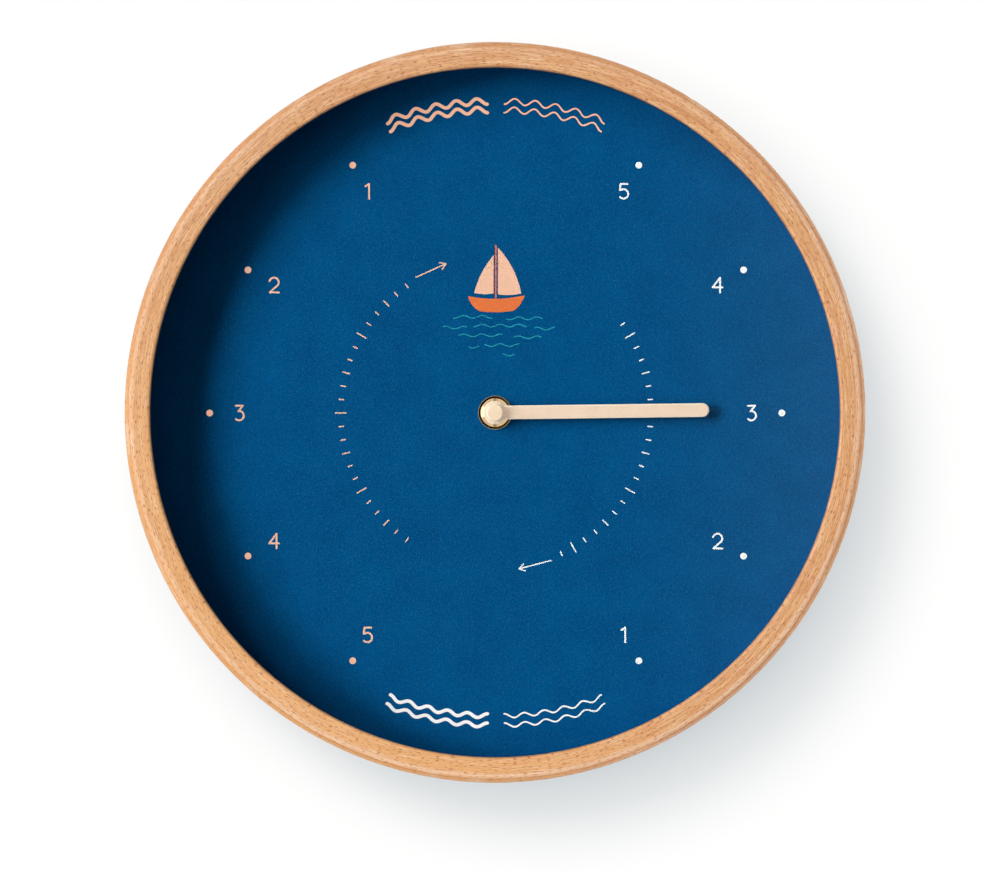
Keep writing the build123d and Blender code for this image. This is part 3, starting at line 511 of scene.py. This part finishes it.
# A painted highlight (pale band) and painted shade (dark line) on the round of the hoop's front edge,
# stronger to the lower right
BEECH_ROUND_LIGHT_LEVELS = (41.0, 39.5)
BEECH_ROUND_LIGHT_SPAN = (-0.3, 0.5)
BEECH_ROUND_LIGHT_WEIGHTS = (0.45, 1.0)
BEECH_ROUND_LIGHT_WANDER = 1.2
BEECH_ROUND_HIGHLIGHT_COLOUR = srgb(240, 205, 176)
BEECH_ROUND_HIGHLIGHT_RADIUS = 147.5
BEECH_ROUND_HIGHLIGHT_FADE = (0.2, 1.2)
BEECH_ROUND_HIGHLIGHT_WEIGHT = 0.6
BEECH_ROUND_SHADE_COLOUR = srgb(176, 116, 84)
BEECH_ROUND_SHADE_RADIUS = 148.9
BEECH_ROUND_SHADE_FADE = (0.1, 0.5)
BEECH_ROUND_SHADE_WEIGHT = 0.5

# The slanted joint where the bent strip's ends meet
BEECH_JOINT_ANGLE = 242.0
BEECH_JOINT_SLANT = 2.2
BEECH_JOINT_FADE = (0.05, 0.22)
BEECH_JOINT_WEIGHT = 0.6


def beech():
    """Bent beech: streaks and flecks run round the hoop, broken at the slanted joint."""
    p = paint("beech")
    x, y, z = p.parts(p.place())
    radius = p.length(p.whole(x, 0.0, z))
    ring = 2 * math.pi * BEECH_RADIUS * MM
    lean = p.maths("MULTIPLY_ADD", radius, BEECH_JOINT_SLANT / ring, -BEECH_JOINT_ANGLE / FULL_TURN)
    share = p.maths("FRACT", p.maths("MULTIPLY_ADD", p.maths("ARCTAN2", z, x), 1 / (2 * math.pi), lean))
    along = p.maths("MULTIPLY_ADD", share, ring, p.maths("MULTIPLY", radius, -BEECH_JOINT_SLANT))
    grain = p.whole(along, p.maths("ADD", radius, y), 0.0)
    crossed = p.whole(along, p.maths("SUBTRACT", radius, y), ring)
    streak = p.noise(grain, *BEECH_STREAK)
    fibre = p.noise(grain, *BEECH_FIBRE)
    deep_to_pale = p.spread(p.mixed(streak, fibre, BEECH_STREAK_SHARE), *BEECH_SPAN)
    colour = p.tint(deep_to_pale, BEECH_DEEP, BEECH_PALE)
    blush = p.spread(p.noise(grain, *BEECH_BLUSH), *BEECH_BLUSH_SPAN, 0.0, BEECH_BLUSH_WEIGHT)
    colour = p.tint(blush, colour, BEECH_BLUSH_COLOUR)
    # Painted light: the face is brighter towards the lower left
    upper_right = p.maths("DIVIDE", p.maths("ADD", x, z), radius)
    painted_lower_left_light = p.spread(upper_right, *BEECH_LOWER_LEFT_LIGHT_SPAN, BEECH_LOWER_LEFT_LIGHT_WEIGHT, 0.0)
    colour = p.tint(painted_lower_left_light, colour, BEECH_LOWER_LEFT_LIGHT_COLOUR)
    sheen = p.spread(p.noise(crossed, *BEECH_SHEEN), *BEECH_SHEEN_SPAN, 0.0, BEECH_SHEEN_WEIGHT)
    colour = p.tint(sheen, colour, BEECH_SHEEN_COLOUR)
    # Painted highlight (pale band) and painted shade (dark line) on the round of the front edge, stronger to
    # the lower right
    lower_right = p.maths("DIVIDE", p.maths("SUBTRACT", x, z), radius)
    side = p.spread(lower_right, *BEECH_ROUND_LIGHT_SPAN, *BEECH_ROUND_LIGHT_WEIGHTS)
    shown = p.maths("MULTIPLY", side, p.before(y, BEECH_ROUND_LIGHT_LEVELS))
    wavy = p.maths("MULTIPLY_ADD", streak, BEECH_ROUND_LIGHT_WANDER * MM, radius)
    round_highlight = p.near(wavy, BEECH_ROUND_HIGHLIGHT_RADIUS, BEECH_ROUND_HIGHLIGHT_FADE, BEECH_ROUND_HIGHLIGHT_WEIGHT)
    colour = p.tint(p.maths("MULTIPLY", round_highlight, shown), colour, BEECH_ROUND_HIGHLIGHT_COLOUR)
    line = p.near(wavy, BEECH_ROUND_SHADE_RADIUS, BEECH_ROUND_SHADE_FADE, BEECH_ROUND_SHADE_WEIGHT)
    colour = p.tint(p.maths("MULTIPLY", line, shown), colour, BEECH_ROUND_SHADE_COLOUR)
    fleck = p.spread(p.noise(grain, *BEECH_FLECK), *BEECH_FLECK_SPAN, 0.0, BEECH_FLECK_WEIGHT)
    colour = p.tint(fleck, colour, BEECH_FLECK_COLOUR)
    apart = p.maths("MULTIPLY", p.maths("PINGPONG", share, 0.5), ring)
    joint = p.near(apart, 0.0, BEECH_JOINT_FADE, BEECH_JOINT_WEIGHT)
    return p.surface({
        "Base Color": p.tint(joint, colour, BEECH_FLECK_COLOUR),
        "Roughness": p.spread(fibre, *NOISE_SPAN, *BEECH_ROUGHNESS),
        "Specular IOR Level": BEECH_GLOSS,
        "Normal": p.bump(fibre, *BEECH_RELIEF),
    })


PAPER_DEEP = srgb(2, 66, 114)
PAPER_PALE = srgb(5, 89, 144)
PAPER_SPAN = (0.33, 0.67)
PAPER_GRAIN = (even(0.6), 3.0)
PAPER_CLOUD = (even(14.0), 2.0)
PAPER_CLOUD_SHARE = 0.2
PAPER_SPECK = (even(0.7), 0.0)
PAPER_SPECK_COLOUR = srgb(50, 106, 146)
PAPER_SPECK_SPAN = (0.58, 0.78)
PAPER_SPECK_WEIGHT = 0.3
PAPER_ROUGHNESS = (0.72, 0.86)
PAPER_RELIEF = (0.03, 0.25)


def blue_paper():
    """Printed paper: a fine grain with pale specks where the ink is thin."""
    p = paint("blue_paper")
    place = p.place()
    grain = p.noise(place, *PAPER_GRAIN)
    cloudy = p.mixed(p.noise(place, *PAPER_CLOUD), grain, PAPER_CLOUD_SHARE)
    colour = p.tint(p.spread(cloudy, *PAPER_SPAN), PAPER_DEEP, PAPER_PALE)
    speck = p.spread(p.noise(place, *PAPER_SPECK), *PAPER_SPECK_SPAN, 0.0, PAPER_SPECK_WEIGHT)
    return p.surface({
        "Base Color": p.tint(speck, colour, PAPER_SPECK_COLOUR),
        "Roughness": p.spread(grain, *NOISE_SPAN, *PAPER_ROUGHNESS),
        "Specular IOR Level": 0.0,
        "Normal": p.bump(grain, *PAPER_RELIEF),
    })


INKS = {
    "peach": (247, 192, 163),
    "white": (248, 248, 248),
    "orange": (232, 116, 58),
    "teal": (10, 143, 165),
}
INK_GRAIN = (even(0.4), 2.0)
INK_SPAN = (0.25, 0.6)
INK_THIN_SHARE = 0.88
INK_ROUGHNESS = (0.5, 0.65)
INK_GLOSS = 0.15
INK_RELIEF = (0.02, 0.2)


def ink(name, colour):
    """Printing ink that lets a little of the paper's grain through."""
    p = paint(f"ink_{name}")
    grain = p.noise(p.place(), *INK_GRAIN)
    full = srgb(*colour)
    thin = tuple(v * INK_THIN_SHARE for v in full[:3]) + (1.0,)
    return p.surface({
        "Base Color": p.tint(p.spread(grain, *INK_SPAN), thin, full),
        "Roughness": p.spread(grain, *NOISE_SPAN, *INK_ROUGHNESS),
        "Specular IOR Level": INK_GLOSS,
        "Normal": p.bump(grain, *INK_RELIEF),
    })


GLASS_IOR = 1.45
GLASS_TINT = (0.985, 0.995, 0.99, 1.0)
GLASS_HAZE = (even(30.0), 3.0)
GLASS_HAZE_SPAN = (0.4, 0.7)
GLASS_ROUGHNESS = (0.01, 0.06)


def clear_glass():
    """Clear sheet: a ray is mirrored where it enters and passes straight where it leaves."""
    p = paint("clear_glass")
    haze = p.spread(p.noise(p.place(), *GLASS_HAZE), *GLASS_HAZE_SPAN, *GLASS_ROUGHNESS)
    through = p.node("ShaderNodeBsdfTransparent", {"Color": GLASS_TINT})
    mirror = p.node("ShaderNodeBsdfGlossy", {"Color": WHITE, "Roughness": haze})
    bright = p.node("ShaderNodeFresnel", {"IOR": GLASS_IOR}).outputs[0]
    outside = p.maths("MULTIPLY", bright, p.maths("SUBTRACT", 1.0, p.backfacing()))
    sheet = p.node("ShaderNodeMixShader", {0: outside, 1: through.outputs[0], 2: mirror.outputs[0]})
    return p.finish(sheet)


CREAM = srgb(246, 216, 191)
CREAM_DEEP = srgb(241, 209, 184)
CREAM_CLOUD = (even(6.0), 2.0)
CREAM_CAP = srgb(249, 220, 187)
CREAM_CAP_LEVELS = (30.1, 29.7)
# Painted highlight: paler where a face turns away from the hand's axis, on the bevels
CREAM_BEVEL_HIGHLIGHT = srgb(255, 240, 214)
CREAM_BEVEL_HIGHLIGHT_SPAN = (0.6, 0.98)
CREAM_PEEL = (even(0.5), 1.0)
CREAM_ROUGHNESS = (0.36, 0.46)
CREAM_GLOSS = 0.35
CREAM_RELIEF = (0.006, 0.06)


def cream_paint():
    """Satin spray paint with a painted highlight that makes it paler along the bevels, a little yellower on
    the cap.
    """
    p = paint("cream_paint")
    place = p.place()
    peel = p.noise(place, *CREAM_PEEL)
    colour = p.tint(p.spread(p.noise(place, *CREAM_CLOUD), *NOISE_SPAN), CREAM_DEEP, CREAM)
    colour = p.tint(p.before(p.parts(place)[1], CREAM_CAP_LEVELS), colour, CREAM_CAP)
    # Painted highlight on the bevels
    bevel_highlight = p.spread(p.facing(), *CREAM_BEVEL_HIGHLIGHT_SPAN, 1.0, 0.0)
    return p.surface({
        "Base Color": p.tint(bevel_highlight, colour, CREAM_BEVEL_HIGHLIGHT),
        "Roughness": p.spread(peel, *NOISE_SPAN, *CREAM_ROUGHNESS),
        "Specular IOR Level": CREAM_GLOSS,
        "Normal": p.bump(peel, *CREAM_RELIEF),
    })


BRASS_PALE = srgb(241, 205, 167)
BRASS_DEEP = srgb(228, 184, 138)
BRASS_CLOUD = (even(2.5), 3.0)
BRASS_RING = 0.3
BRASS_RELIEF = (0.0006, 0.5)
BRASS_ROUGHNESS = (0.12, 0.18)
NUT_FLOOR = 27.0
NUT_FLOOR_FADE = (0.1, 0.2)
NUT_FLOOR_ROUGHNESS = 0.4


def brass():
    """Polished brass with the faint rings of its turning, duller on the milled floor of the nut's slots."""
    p = paint("brass")
    place = p.place()
    x, y, z = p.parts(place)
    ring = p.ripple(p.length(p.whole(x, 0.0, z)), BRASS_RING)
    cloud = p.noise(place, *BRASS_CLOUD)
    milled = p.near(y, -NUT_FLOOR, NUT_FLOOR_FADE, NUT_FLOOR_ROUGHNESS)
    return p.surface({
        "Base Color": p.tint(p.spread(cloud, *NOISE_SPAN), BRASS_DEEP, BRASS_PALE),
        "Metallic": 1.0,
        "Roughness": p.maths("ADD", p.spread(cloud, *NOISE_SPAN, *BRASS_ROUGHNESS), milled),
        "Normal": p.bump(ring, *BRASS_RELIEF),
    })


STEEL_PALE = srgb(206, 208, 210)
STEEL_DEEP = srgb(170, 174, 178)
STEEL_SPAN = (0.35, 0.65)
STEEL_STREAK = ((0.12, 4.0, 4.0), 2.0)
STEEL_STREAK_SHARE = 0.4
STEEL_CLOUD = (even(5.0), 4.0)
STEEL_ROUGHNESS = (0.28, 0.45)
STEEL_RELIEF = (0.01, 0.25)


def plated_steel():
    """Zinc-plated sheet: rolling lines and a cloudy plating."""
    p = paint("plated_steel")
    place = p.place()
    streak = p.noise(place, *STEEL_STREAK)
    plating = p.mixed(streak, p.noise(place, *STEEL_CLOUD), STEEL_STREAK_SHARE)
    return p.surface({
        "Base Color": p.tint(p.spread(plating, *STEEL_SPAN), STEEL_DEEP, STEEL_PALE),
        "Metallic": 1.0,
        "Roughness": p.spread(plating, *NOISE_SPAN, *STEEL_ROUGHNESS),
        "Normal": p.bump(streak, *STEEL_RELIEF),
    })


# Moulded plastics and rubber: deep and pale colour, roughness, size of the skin's grain, and gloss
MOULDED = {
    "navy_plastic": ((0, 62, 106), (3, 74, 124), 0.6, 0.3, 0.1),
    "black_rubber": ((14, 14, 15), (32, 32, 33), 0.82, 0.5, 0.2),
    "black_plastic": ((18, 18, 19), (36, 36, 38), 0.42, 0.35, 0.5),
    # The raised marks on the cover: paler and a little shinier than the cover
    "pale_mark_plastic": ((60, 60, 62), (84, 84, 87), 0.36, 0.35, 0.5),
    "white_plastic": ((222, 219, 208), (240, 238, 230), 0.42, 0.4, 0.4),
}
SKIN_DETAIL = 3.0
SKIN_SHARE = 0.45
SKIN_RELIEF = (0.03, 0.3)
SKIN_SWING = 0.07
FLOW_SCALE = 24
FLOW_DETAIL = 2.0


def moulded(name, deep, pale, roughness, grain, gloss):
    """A moulded plastic or rubber with a spark-eroded skin and a slight cloud of flow in its colour."""
    p = paint(name)
    place = p.place()
    skin = p.noise(place, even(grain), SKIN_DETAIL)
    flow = p.noise(place, even(grain * FLOW_SCALE), FLOW_DETAIL)
    share = p.spread(p.mixed(skin, flow, SKIN_SHARE), *NOISE_SPAN)
    return p.surface({
        "Base Color": p.tint(share, srgb(*deep), srgb(*pale)),
        "Roughness": p.spread(skin, *NOISE_SPAN, roughness - SKIN_SWING, roughness + SKIN_SWING),
        "Specular IOR Level": gloss,
        "Normal": p.bump(skin, *SKIN_RELIEF),
    })


BOARD_PALE = srgb(176, 136, 96)
BOARD_DEEP = srgb(124, 88, 58)
BOARD_SPAN = (0.36, 0.6)
BOARD_FIBRE = ((2.6, 0.3, 0.35), 3.0)
BOARD_FIBRE_SHARE = 0.5
BOARD_CLOUD = (even(9.0), 2.0)
BOARD_CLOUD_SPAN = (0.35, 0.7)
BOARD_CLOUD_WEIGHT = 0.3
BOARD_ROUGHNESS = (0.8, 0.92)
BOARD_GLOSS = 0.15
BOARD_RELIEF = (0.08, 0.3)


def fibreboard():
    """Pressed fibres that lie across each other, some of them dark."""
    p = paint("fibreboard")
    place = p.place()
    x, y, z = p.parts(place)
    turned = p.whole(p.maths("ADD", x, z), y, p.maths("SUBTRACT", x, z))
    fibre = p.mixed(p.noise(place, *BOARD_FIBRE), p.noise(turned, *BOARD_FIBRE), BOARD_FIBRE_SHARE)
    colour = p.tint(p.spread(fibre, *BOARD_SPAN), BOARD_DEEP, BOARD_PALE)
    cloud = p.spread(p.noise(place, *BOARD_CLOUD), *BOARD_CLOUD_SPAN, 0.0, BOARD_CLOUD_WEIGHT)
    return p.surface({
        "Base Color": p.tint(cloud, colour, BOARD_DEEP, "MULTIPLY"),
        "Roughness": p.spread(fibre, *NOISE_SPAN, *BOARD_ROUGHNESS),
        "Specular IOR Level": BOARD_GLOSS,
        "Normal": p.bump(fibre, *BOARD_RELIEF),
    })


MAGNET_PALE = srgb(104, 104, 108)
MAGNET_DEEP = srgb(70, 70, 74)
MAGNET_SPAN = (0.35, 0.65)
MAGNET_GRAIN = (even(0.25), 4.0)
MAGNET_METAL = 0.7
MAGNET_ROUGHNESS = (0.42, 0.58)
MAGNET_RELIEF = (0.02, 0.4)


def magnet_grey():
    """Sintered magnet: a grainy dull metal."""
    p = paint("magnet_grey")
    grain = p.noise(p.place(), *MAGNET_GRAIN)
    return p.surface({
        "Base Color": p.tint(p.spread(grain, *MAGNET_SPAN), MAGNET_DEEP, MAGNET_PALE),
        "Metallic": MAGNET_METAL,
        "Roughness": p.spread(grain, *NOISE_SPAN, *MAGNET_ROUGHNESS),
        "Normal": p.bump(grain, *MAGNET_RELIEF),
    })


COPPER_PALE = srgb(214, 128, 74)
COPPER_DEEP = srgb(142, 70, 34)
COPPER_SPAN = (-1.0, 0.4)
COPPER_PITCH = 0.16
COPPER_WANDER = (even(1.5), 2.0)
COPPER_METAL = 0.9
COPPER_ROUGHNESS = (0.26, 0.36)
COPPER_COAT = 0.4
COPPER_RELIEF = (0.05, 0.6)


def copper_wire():
    """Enamelled wire, wound side by side along the coil."""
    p = paint("copper_wire")
    place = p.place()
    wander = p.noise(place, *COPPER_WANDER)
    turn = p.ripple(p.maths("MULTIPLY_ADD", wander, COPPER_PITCH * MM, p.parts(place)[0]), COPPER_PITCH)
    return p.surface({
        "Base Color": p.tint(p.spread(turn, *COPPER_SPAN), COPPER_DEEP, COPPER_PALE),
        "Metallic": COPPER_METAL,
        "Roughness": p.spread(wander, *NOISE_SPAN, *COPPER_ROUGHNESS),
        "Coat Weight": COPPER_COAT,
        "Normal": p.bump(turn, *COPPER_RELIEF),
    })


LAMINATE_PALE = srgb(40, 122, 72)
LAMINATE_DEEP = srgb(18, 78, 46)
LAMINATE_WEAVE = 0.6
LAMINATE_SPAN = (-1.0, 1.0)
LAMINATE_ROUGHNESS = (0.3, 0.38)
LAMINATE_COAT = 0.3
LAMINATE_RELIEF = (0.01, 0.3)


def green_laminate():
    """Circuit board: a glass weave under green lacquer."""
    p = paint("green_laminate")
    x, y, z = p.parts(p.place())
    weave = p.maths("MULTIPLY", p.ripple(x, LAMINATE_WEAVE), p.ripple(z, LAMINATE_WEAVE))
    return p.surface({
        "Base Color": p.tint(p.spread(weave, *LAMINATE_SPAN), LAMINATE_DEEP, LAMINATE_PALE),
        "Roughness": p.spread(weave, *LAMINATE_SPAN, *LAMINATE_ROUGHNESS),
        "Coat Weight": LAMINATE_COAT,
        "Normal": p.bump(weave, *LAMINATE_RELIEF),
    })


# Cell: the level and height of its axis, the ends of its sleeve and band along x, and the sleeve's inner rim
CELL_LEVEL = 11.2
CELL_HEIGHT = -18.522
CELL_SLEEVE = (-23.3, 23.3)
CELL_BAND = (13.5, 16.0)
CELL_RIM = 5.9
CELL_BODY = srgb(58, 110, 96)
CELL_BAND_COLOUR = srgb(214, 216, 210)
CELL_METAL = srgb(196, 198, 200)
CELL_SCUFF = ((3.0, 0.3, 0.3), 3.0)
CELL_SCUFF_SPAN = (0.55, 0.75)
CELL_SCUFF_WEIGHT = 0.18
CELL_ROUGHNESS = (0.26, 0.4)
CELL_RELIEF = (0.01, 0.2)


def cell_jacket():
    """A plain sleeved cell: a coloured sleeve with one pale band, bare metal at both ends."""
    p = paint("cell_jacket")
    place = p.place()
    x, y, z = p.parts(place)
    off = p.whole(0.0, p.maths("ADD", y, CELL_LEVEL * MM), p.maths("SUBTRACT", z, CELL_HEIGHT * MM))
    wide = p.maths("GREATER_THAN", p.length(off), CELL_RIM * MM)
    sleeve = p.maths("MULTIPLY", p.within(x, CELL_SLEEVE), wide)
    scuff = p.noise(place, *CELL_SCUFF)
    colour = p.tint(p.within(x, CELL_BAND), CELL_BODY, CELL_BAND_COLOUR)
    rubbed = p.spread(scuff, *CELL_SCUFF_SPAN, 0.0, CELL_SCUFF_WEIGHT)
    colour = p.tint(rubbed, colour, CELL_METAL)
    return p.surface({
        "Base Color": p.tint(sleeve, CELL_METAL, colour),
        "Metallic": p.maths("SUBTRACT", 1.0, sleeve),
        "Roughness": p.spread(scuff, *NOISE_SPAN, *CELL_ROUGHNESS),
        "Normal": p.bump(scuff, *CELL_RELIEF),
    })


def finishes():
    """Every material slot's finish, by the slot's name, and the finish of the paler marks."""
    makers = (beech, clear_glass, blue_paper, fibreboard, plated_steel, brass, cream_paint, magnet_grey,
              copper_wire, green_laminate, cell_jacket)
    made = {maker.__name__: maker() for maker in makers}
    return made | {name: moulded(name, *values) for name, values in MOULDED.items()}


# Stage. Lamps stand by what they light. Each has its angle round the dial from the right, its rise over the
# dial's plane towards the viewer, its width as an angle, and its strength.
LAMPS = {
    "dial": {
        "key_high": (142, 33, 22, 1.6),
        "key": (172, 33, 22, 3.25),
        "key_low": (202, 33, 22, 0.68),
        "dial_front": (90, 84, 60, 0.14),
    },
    "ink": {
        "ink_key": (172, 33, 40, 2.9),
        "ink_front": (90, 84, 60, 1.7),
    },
    "hub": {
        "hub_key": (172, 33, 40, 3.3),
        "hub_high": (95, 12, 30, 1.65),
        "hub_low": (265, 12, 30, 1.65),
        "hub_right": (0, 12, 30, 0.9),
        "hub_front": (90, 84, 60, 0.72),
    },
    "nut": {
        "nut_key": (176, 33, 40, 0.6),
        "nut_front": (90, 84, 60, 0.8),
    },
    "wood": {
        "wood_left": (166, 58, 56, 2.35),
        "wood_high": (90, 50, 60, 0.5),
        "wood_low": (270, 45, 40, 0.5),
        "wood_graze": (166, 10, 14, 0.3),
        "wood_right": (20, -17, 30, 1.0),
        "wood_under": (305, -17, 30, 1.1),
    },
    "wall": {
        "wall_near": (132, 49.5, 24, 5.3),
        "wall_wide": (135, 65.5, 69, 15.7),
    },
    "room": {
        "fill_back": (61, -60, 24, 1.8),
        "fill_right": (13, -30, 60, 0.9),
        "fill_high": (97, -30, 60, 0.55),
        "fill_left": (200, -35, 60, 1.0),
    },
}
AMBIENT = 0.12

# Wall: how far it lies behind the clock, its size, and how it glows and takes light
WALL_BEHIND = 0.6
WALL_SPAN = 6000.0
WALL_GLOW = (0.495, 0.553, 0.583, 1.0)
WALL_COLOUR = (0.0874, 0.0774, 0.0719, 1.0)

# Dark card in front: a faint haze comes in to the right of its middle, and it turns white towards its rim
FLAG_DISTANCE = 3000.0
FLAG_SPAN = 3600.0
FLAG_GLOW = 0.28
FLAG_COLOUR = (1.0, 1.15, 0.0, 1.0)
FLAG_FADE = (90.0, 430.0)
FLAG_RIM = (650.0, 1750.0)


def card(name, level, span, finish):
    """A square card that faces the room, at that distance from the wall."""
    half = span * MM / 2
    corners = ((-half, -half), (half, -half), (half, half), (-half, half))
    mesh = bpy.data.meshes.new(name)
    mesh.from_pydata([(x, -level * MM, z) for x, z in corners], [], [(0, 1, 2, 3)])
    mesh.materials.append(finish)
    made = linked(name, mesh)
    return made


def seen_by_mirrors(p):
    """1 for the camera's own rays and those that come off gloss or through glass."""
    path = p.node("ShaderNodeLightPath", {}).outputs
    either = p.maths("MAXIMUM", path["Is Camera Ray"], path["Is Glossy Ray"])
    return p.maths("MAXIMUM", either, path["Is Transmission Ray"])


def wall():
    """White to the eye, and darker where the clock's shadow falls. It has no back."""
    p = paint("wall")
    chalk = p.node("ShaderNodeBsdfDiffuse", {"Color": WALL_COLOUR})
    glow = p.node("ShaderNodeEmission", {"Color": WALL_GLOW, "Strength": seen_by_mirrors(p)})
    front = p.node("ShaderNodeAddShader", {0: chalk.outputs[0], 1: glow.outputs[0]})
    back = p.node("ShaderNodeBsdfTransparent", {})
    shown = p.node("ShaderNodeMixShader", {0: p.backfacing(), 1: front.outputs[0], 2: back.outputs[0]})
    made = card("wall", -WALL_BEHIND, WALL_SPAN, p.finish(shown))
    made.visible_shadow = False
    made.visible_diffuse = False
    return made


def flag():
    """A dark card in front, which only gloss sees, so that the glass doesn't veil the dial."""
    p = paint("flag")
    x, y, z = p.parts(p.place())
    rise = p.spread(x, *(edge * MM for edge in FLAG_FADE))
    haze = p.maths("MULTIPLY", p.maths("MULTIPLY", rise, rise), FLAG_GLOW)
    rim = p.spread(p.length(p.whole(x, 0.0, z)), *(edge * MM for edge in FLAG_RIM))
    glow = p.node("ShaderNodeEmission", {
        "Color": p.tint(rim, FLAG_COLOUR, WHITE),
        "Strength": p.maths("MAXIMUM", haze, rim),
    })
    made = card("flag", FLAG_DISTANCE, FLAG_SPAN, p.finish(glow))
    for kind in ("camera", "diffuse", "shadow", "transmission", "volume_scatter"):
        setattr(made, f"visible_{kind}", False)


def sun(name, around, rise, width, strength):
    lamp = bpy.data.lights.new(name, "SUN")
    lamp.energy = strength
    lamp.angle = math.radians(width)
    made = linked(name, lamp)
    x, z = polar(math.cos(math.radians(rise)), around)
    made.rotation_mode = "QUATERNION"
    made.rotation_quaternion = Vector((x, -math.sin(math.radians(rise)), z)).to_track_quat("Z", "Y")
    return made


def receivers(name, pieces, state):
    """A group that a lamp lights alone (INCLUDE) or leaves out (EXCLUDE)."""
    group = bpy.data.collections.new(f"{name}_light")
    for piece in pieces:
        group.objects.link(piece)
    for member in group.collection_objects:
        member.light_linking.link_state = state
    return group


def lights(backdrop, nodes, prints, mirrors):
    """Light each group by its own lamps. The dial's lamps light the rest, but not what would mirror them."""
    own = {
        "ink": prints,
        "hub": [nodes["tide_hand"], nodes["hand_cap"]],
        "nut": [nodes["dial_nut"]],
        "wood": [nodes["wood_frame"]],
        "wall": [backdrop],
    }
    groups = {name: receivers(name, pieces, "INCLUDE") for name, pieces in own.items()}
    apart = [piece for pieces in own.values() for piece in pieces]
    groups["dial"] = receivers("dial", apart + mirrors, "EXCLUDE")
    groups["room"] = receivers("room", [backdrop], "EXCLUDE")
    for name, lamps in LAMPS.items():
        for lamp, values in lamps.items():
            sun(lamp, *values).light_linking.receiver_collection = groups[name]


def surroundings():
    """White where it is seen or mirrored, dim where it only lights."""
    world = bpy.data.worlds.new("studio")
    bpy.context.scene.world = world
    p = Paint(world)
    strength = p.spread(seen_by_mirrors(p), 0.0, 1.0, AMBIENT, 1.0)
    glow = p.node("ShaderNodeBackground", {"Color": WHITE, "Strength": strength})
    p.node("ShaderNodeOutputWorld", {"Surface": glow.outputs[0]})


def camera():
    view = bpy.data.cameras.new("camera")
    view.sensor_fit = "HORIZONTAL"
    view.sensor_width = CAMERA_SENSOR
    view.lens = CAMERA_SENSOR * CAMERA_DISTANCE / (PICTURE_PIXELS * PIXEL_SIZE)
    made = linked("camera", view)
    x, z = PICTURE_MIDDLE
    made.location = (x * MM, -(RIM_PLANE + CAMERA_DISTANCE) * MM, z * MM)
    made.rotation_euler = (math.radians(90), 0.0, 0.0)
    bpy.context.scene.camera = made


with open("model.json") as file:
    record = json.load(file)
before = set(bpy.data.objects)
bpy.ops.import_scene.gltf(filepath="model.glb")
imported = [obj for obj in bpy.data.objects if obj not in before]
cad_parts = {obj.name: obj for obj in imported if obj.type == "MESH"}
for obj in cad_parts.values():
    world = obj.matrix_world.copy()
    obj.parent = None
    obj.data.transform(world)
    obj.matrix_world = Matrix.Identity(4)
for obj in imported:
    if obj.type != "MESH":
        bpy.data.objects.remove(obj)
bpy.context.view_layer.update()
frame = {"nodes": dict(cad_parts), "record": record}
bpy.context.scene.view_settings.view_transform = "Standard"
finish_of = finishes()
for part in frame["record"]["subparts"]:
    for slot in frame["nodes"][part["node"]].material_slots:
        slot.material = finish_of[part["material_slot"]]
prints = list(dial_print({name: ink(name, colour) for name, colour in INKS.items()}))
cover_marks(finish_of["pale_mark_plastic"])
mirrors = [frame["nodes"]["glass_lens"], washer(finish_of["brass"])]
lights(wall(), frame["nodes"], prints, mirrors)
flag()
surroundings()
camera()
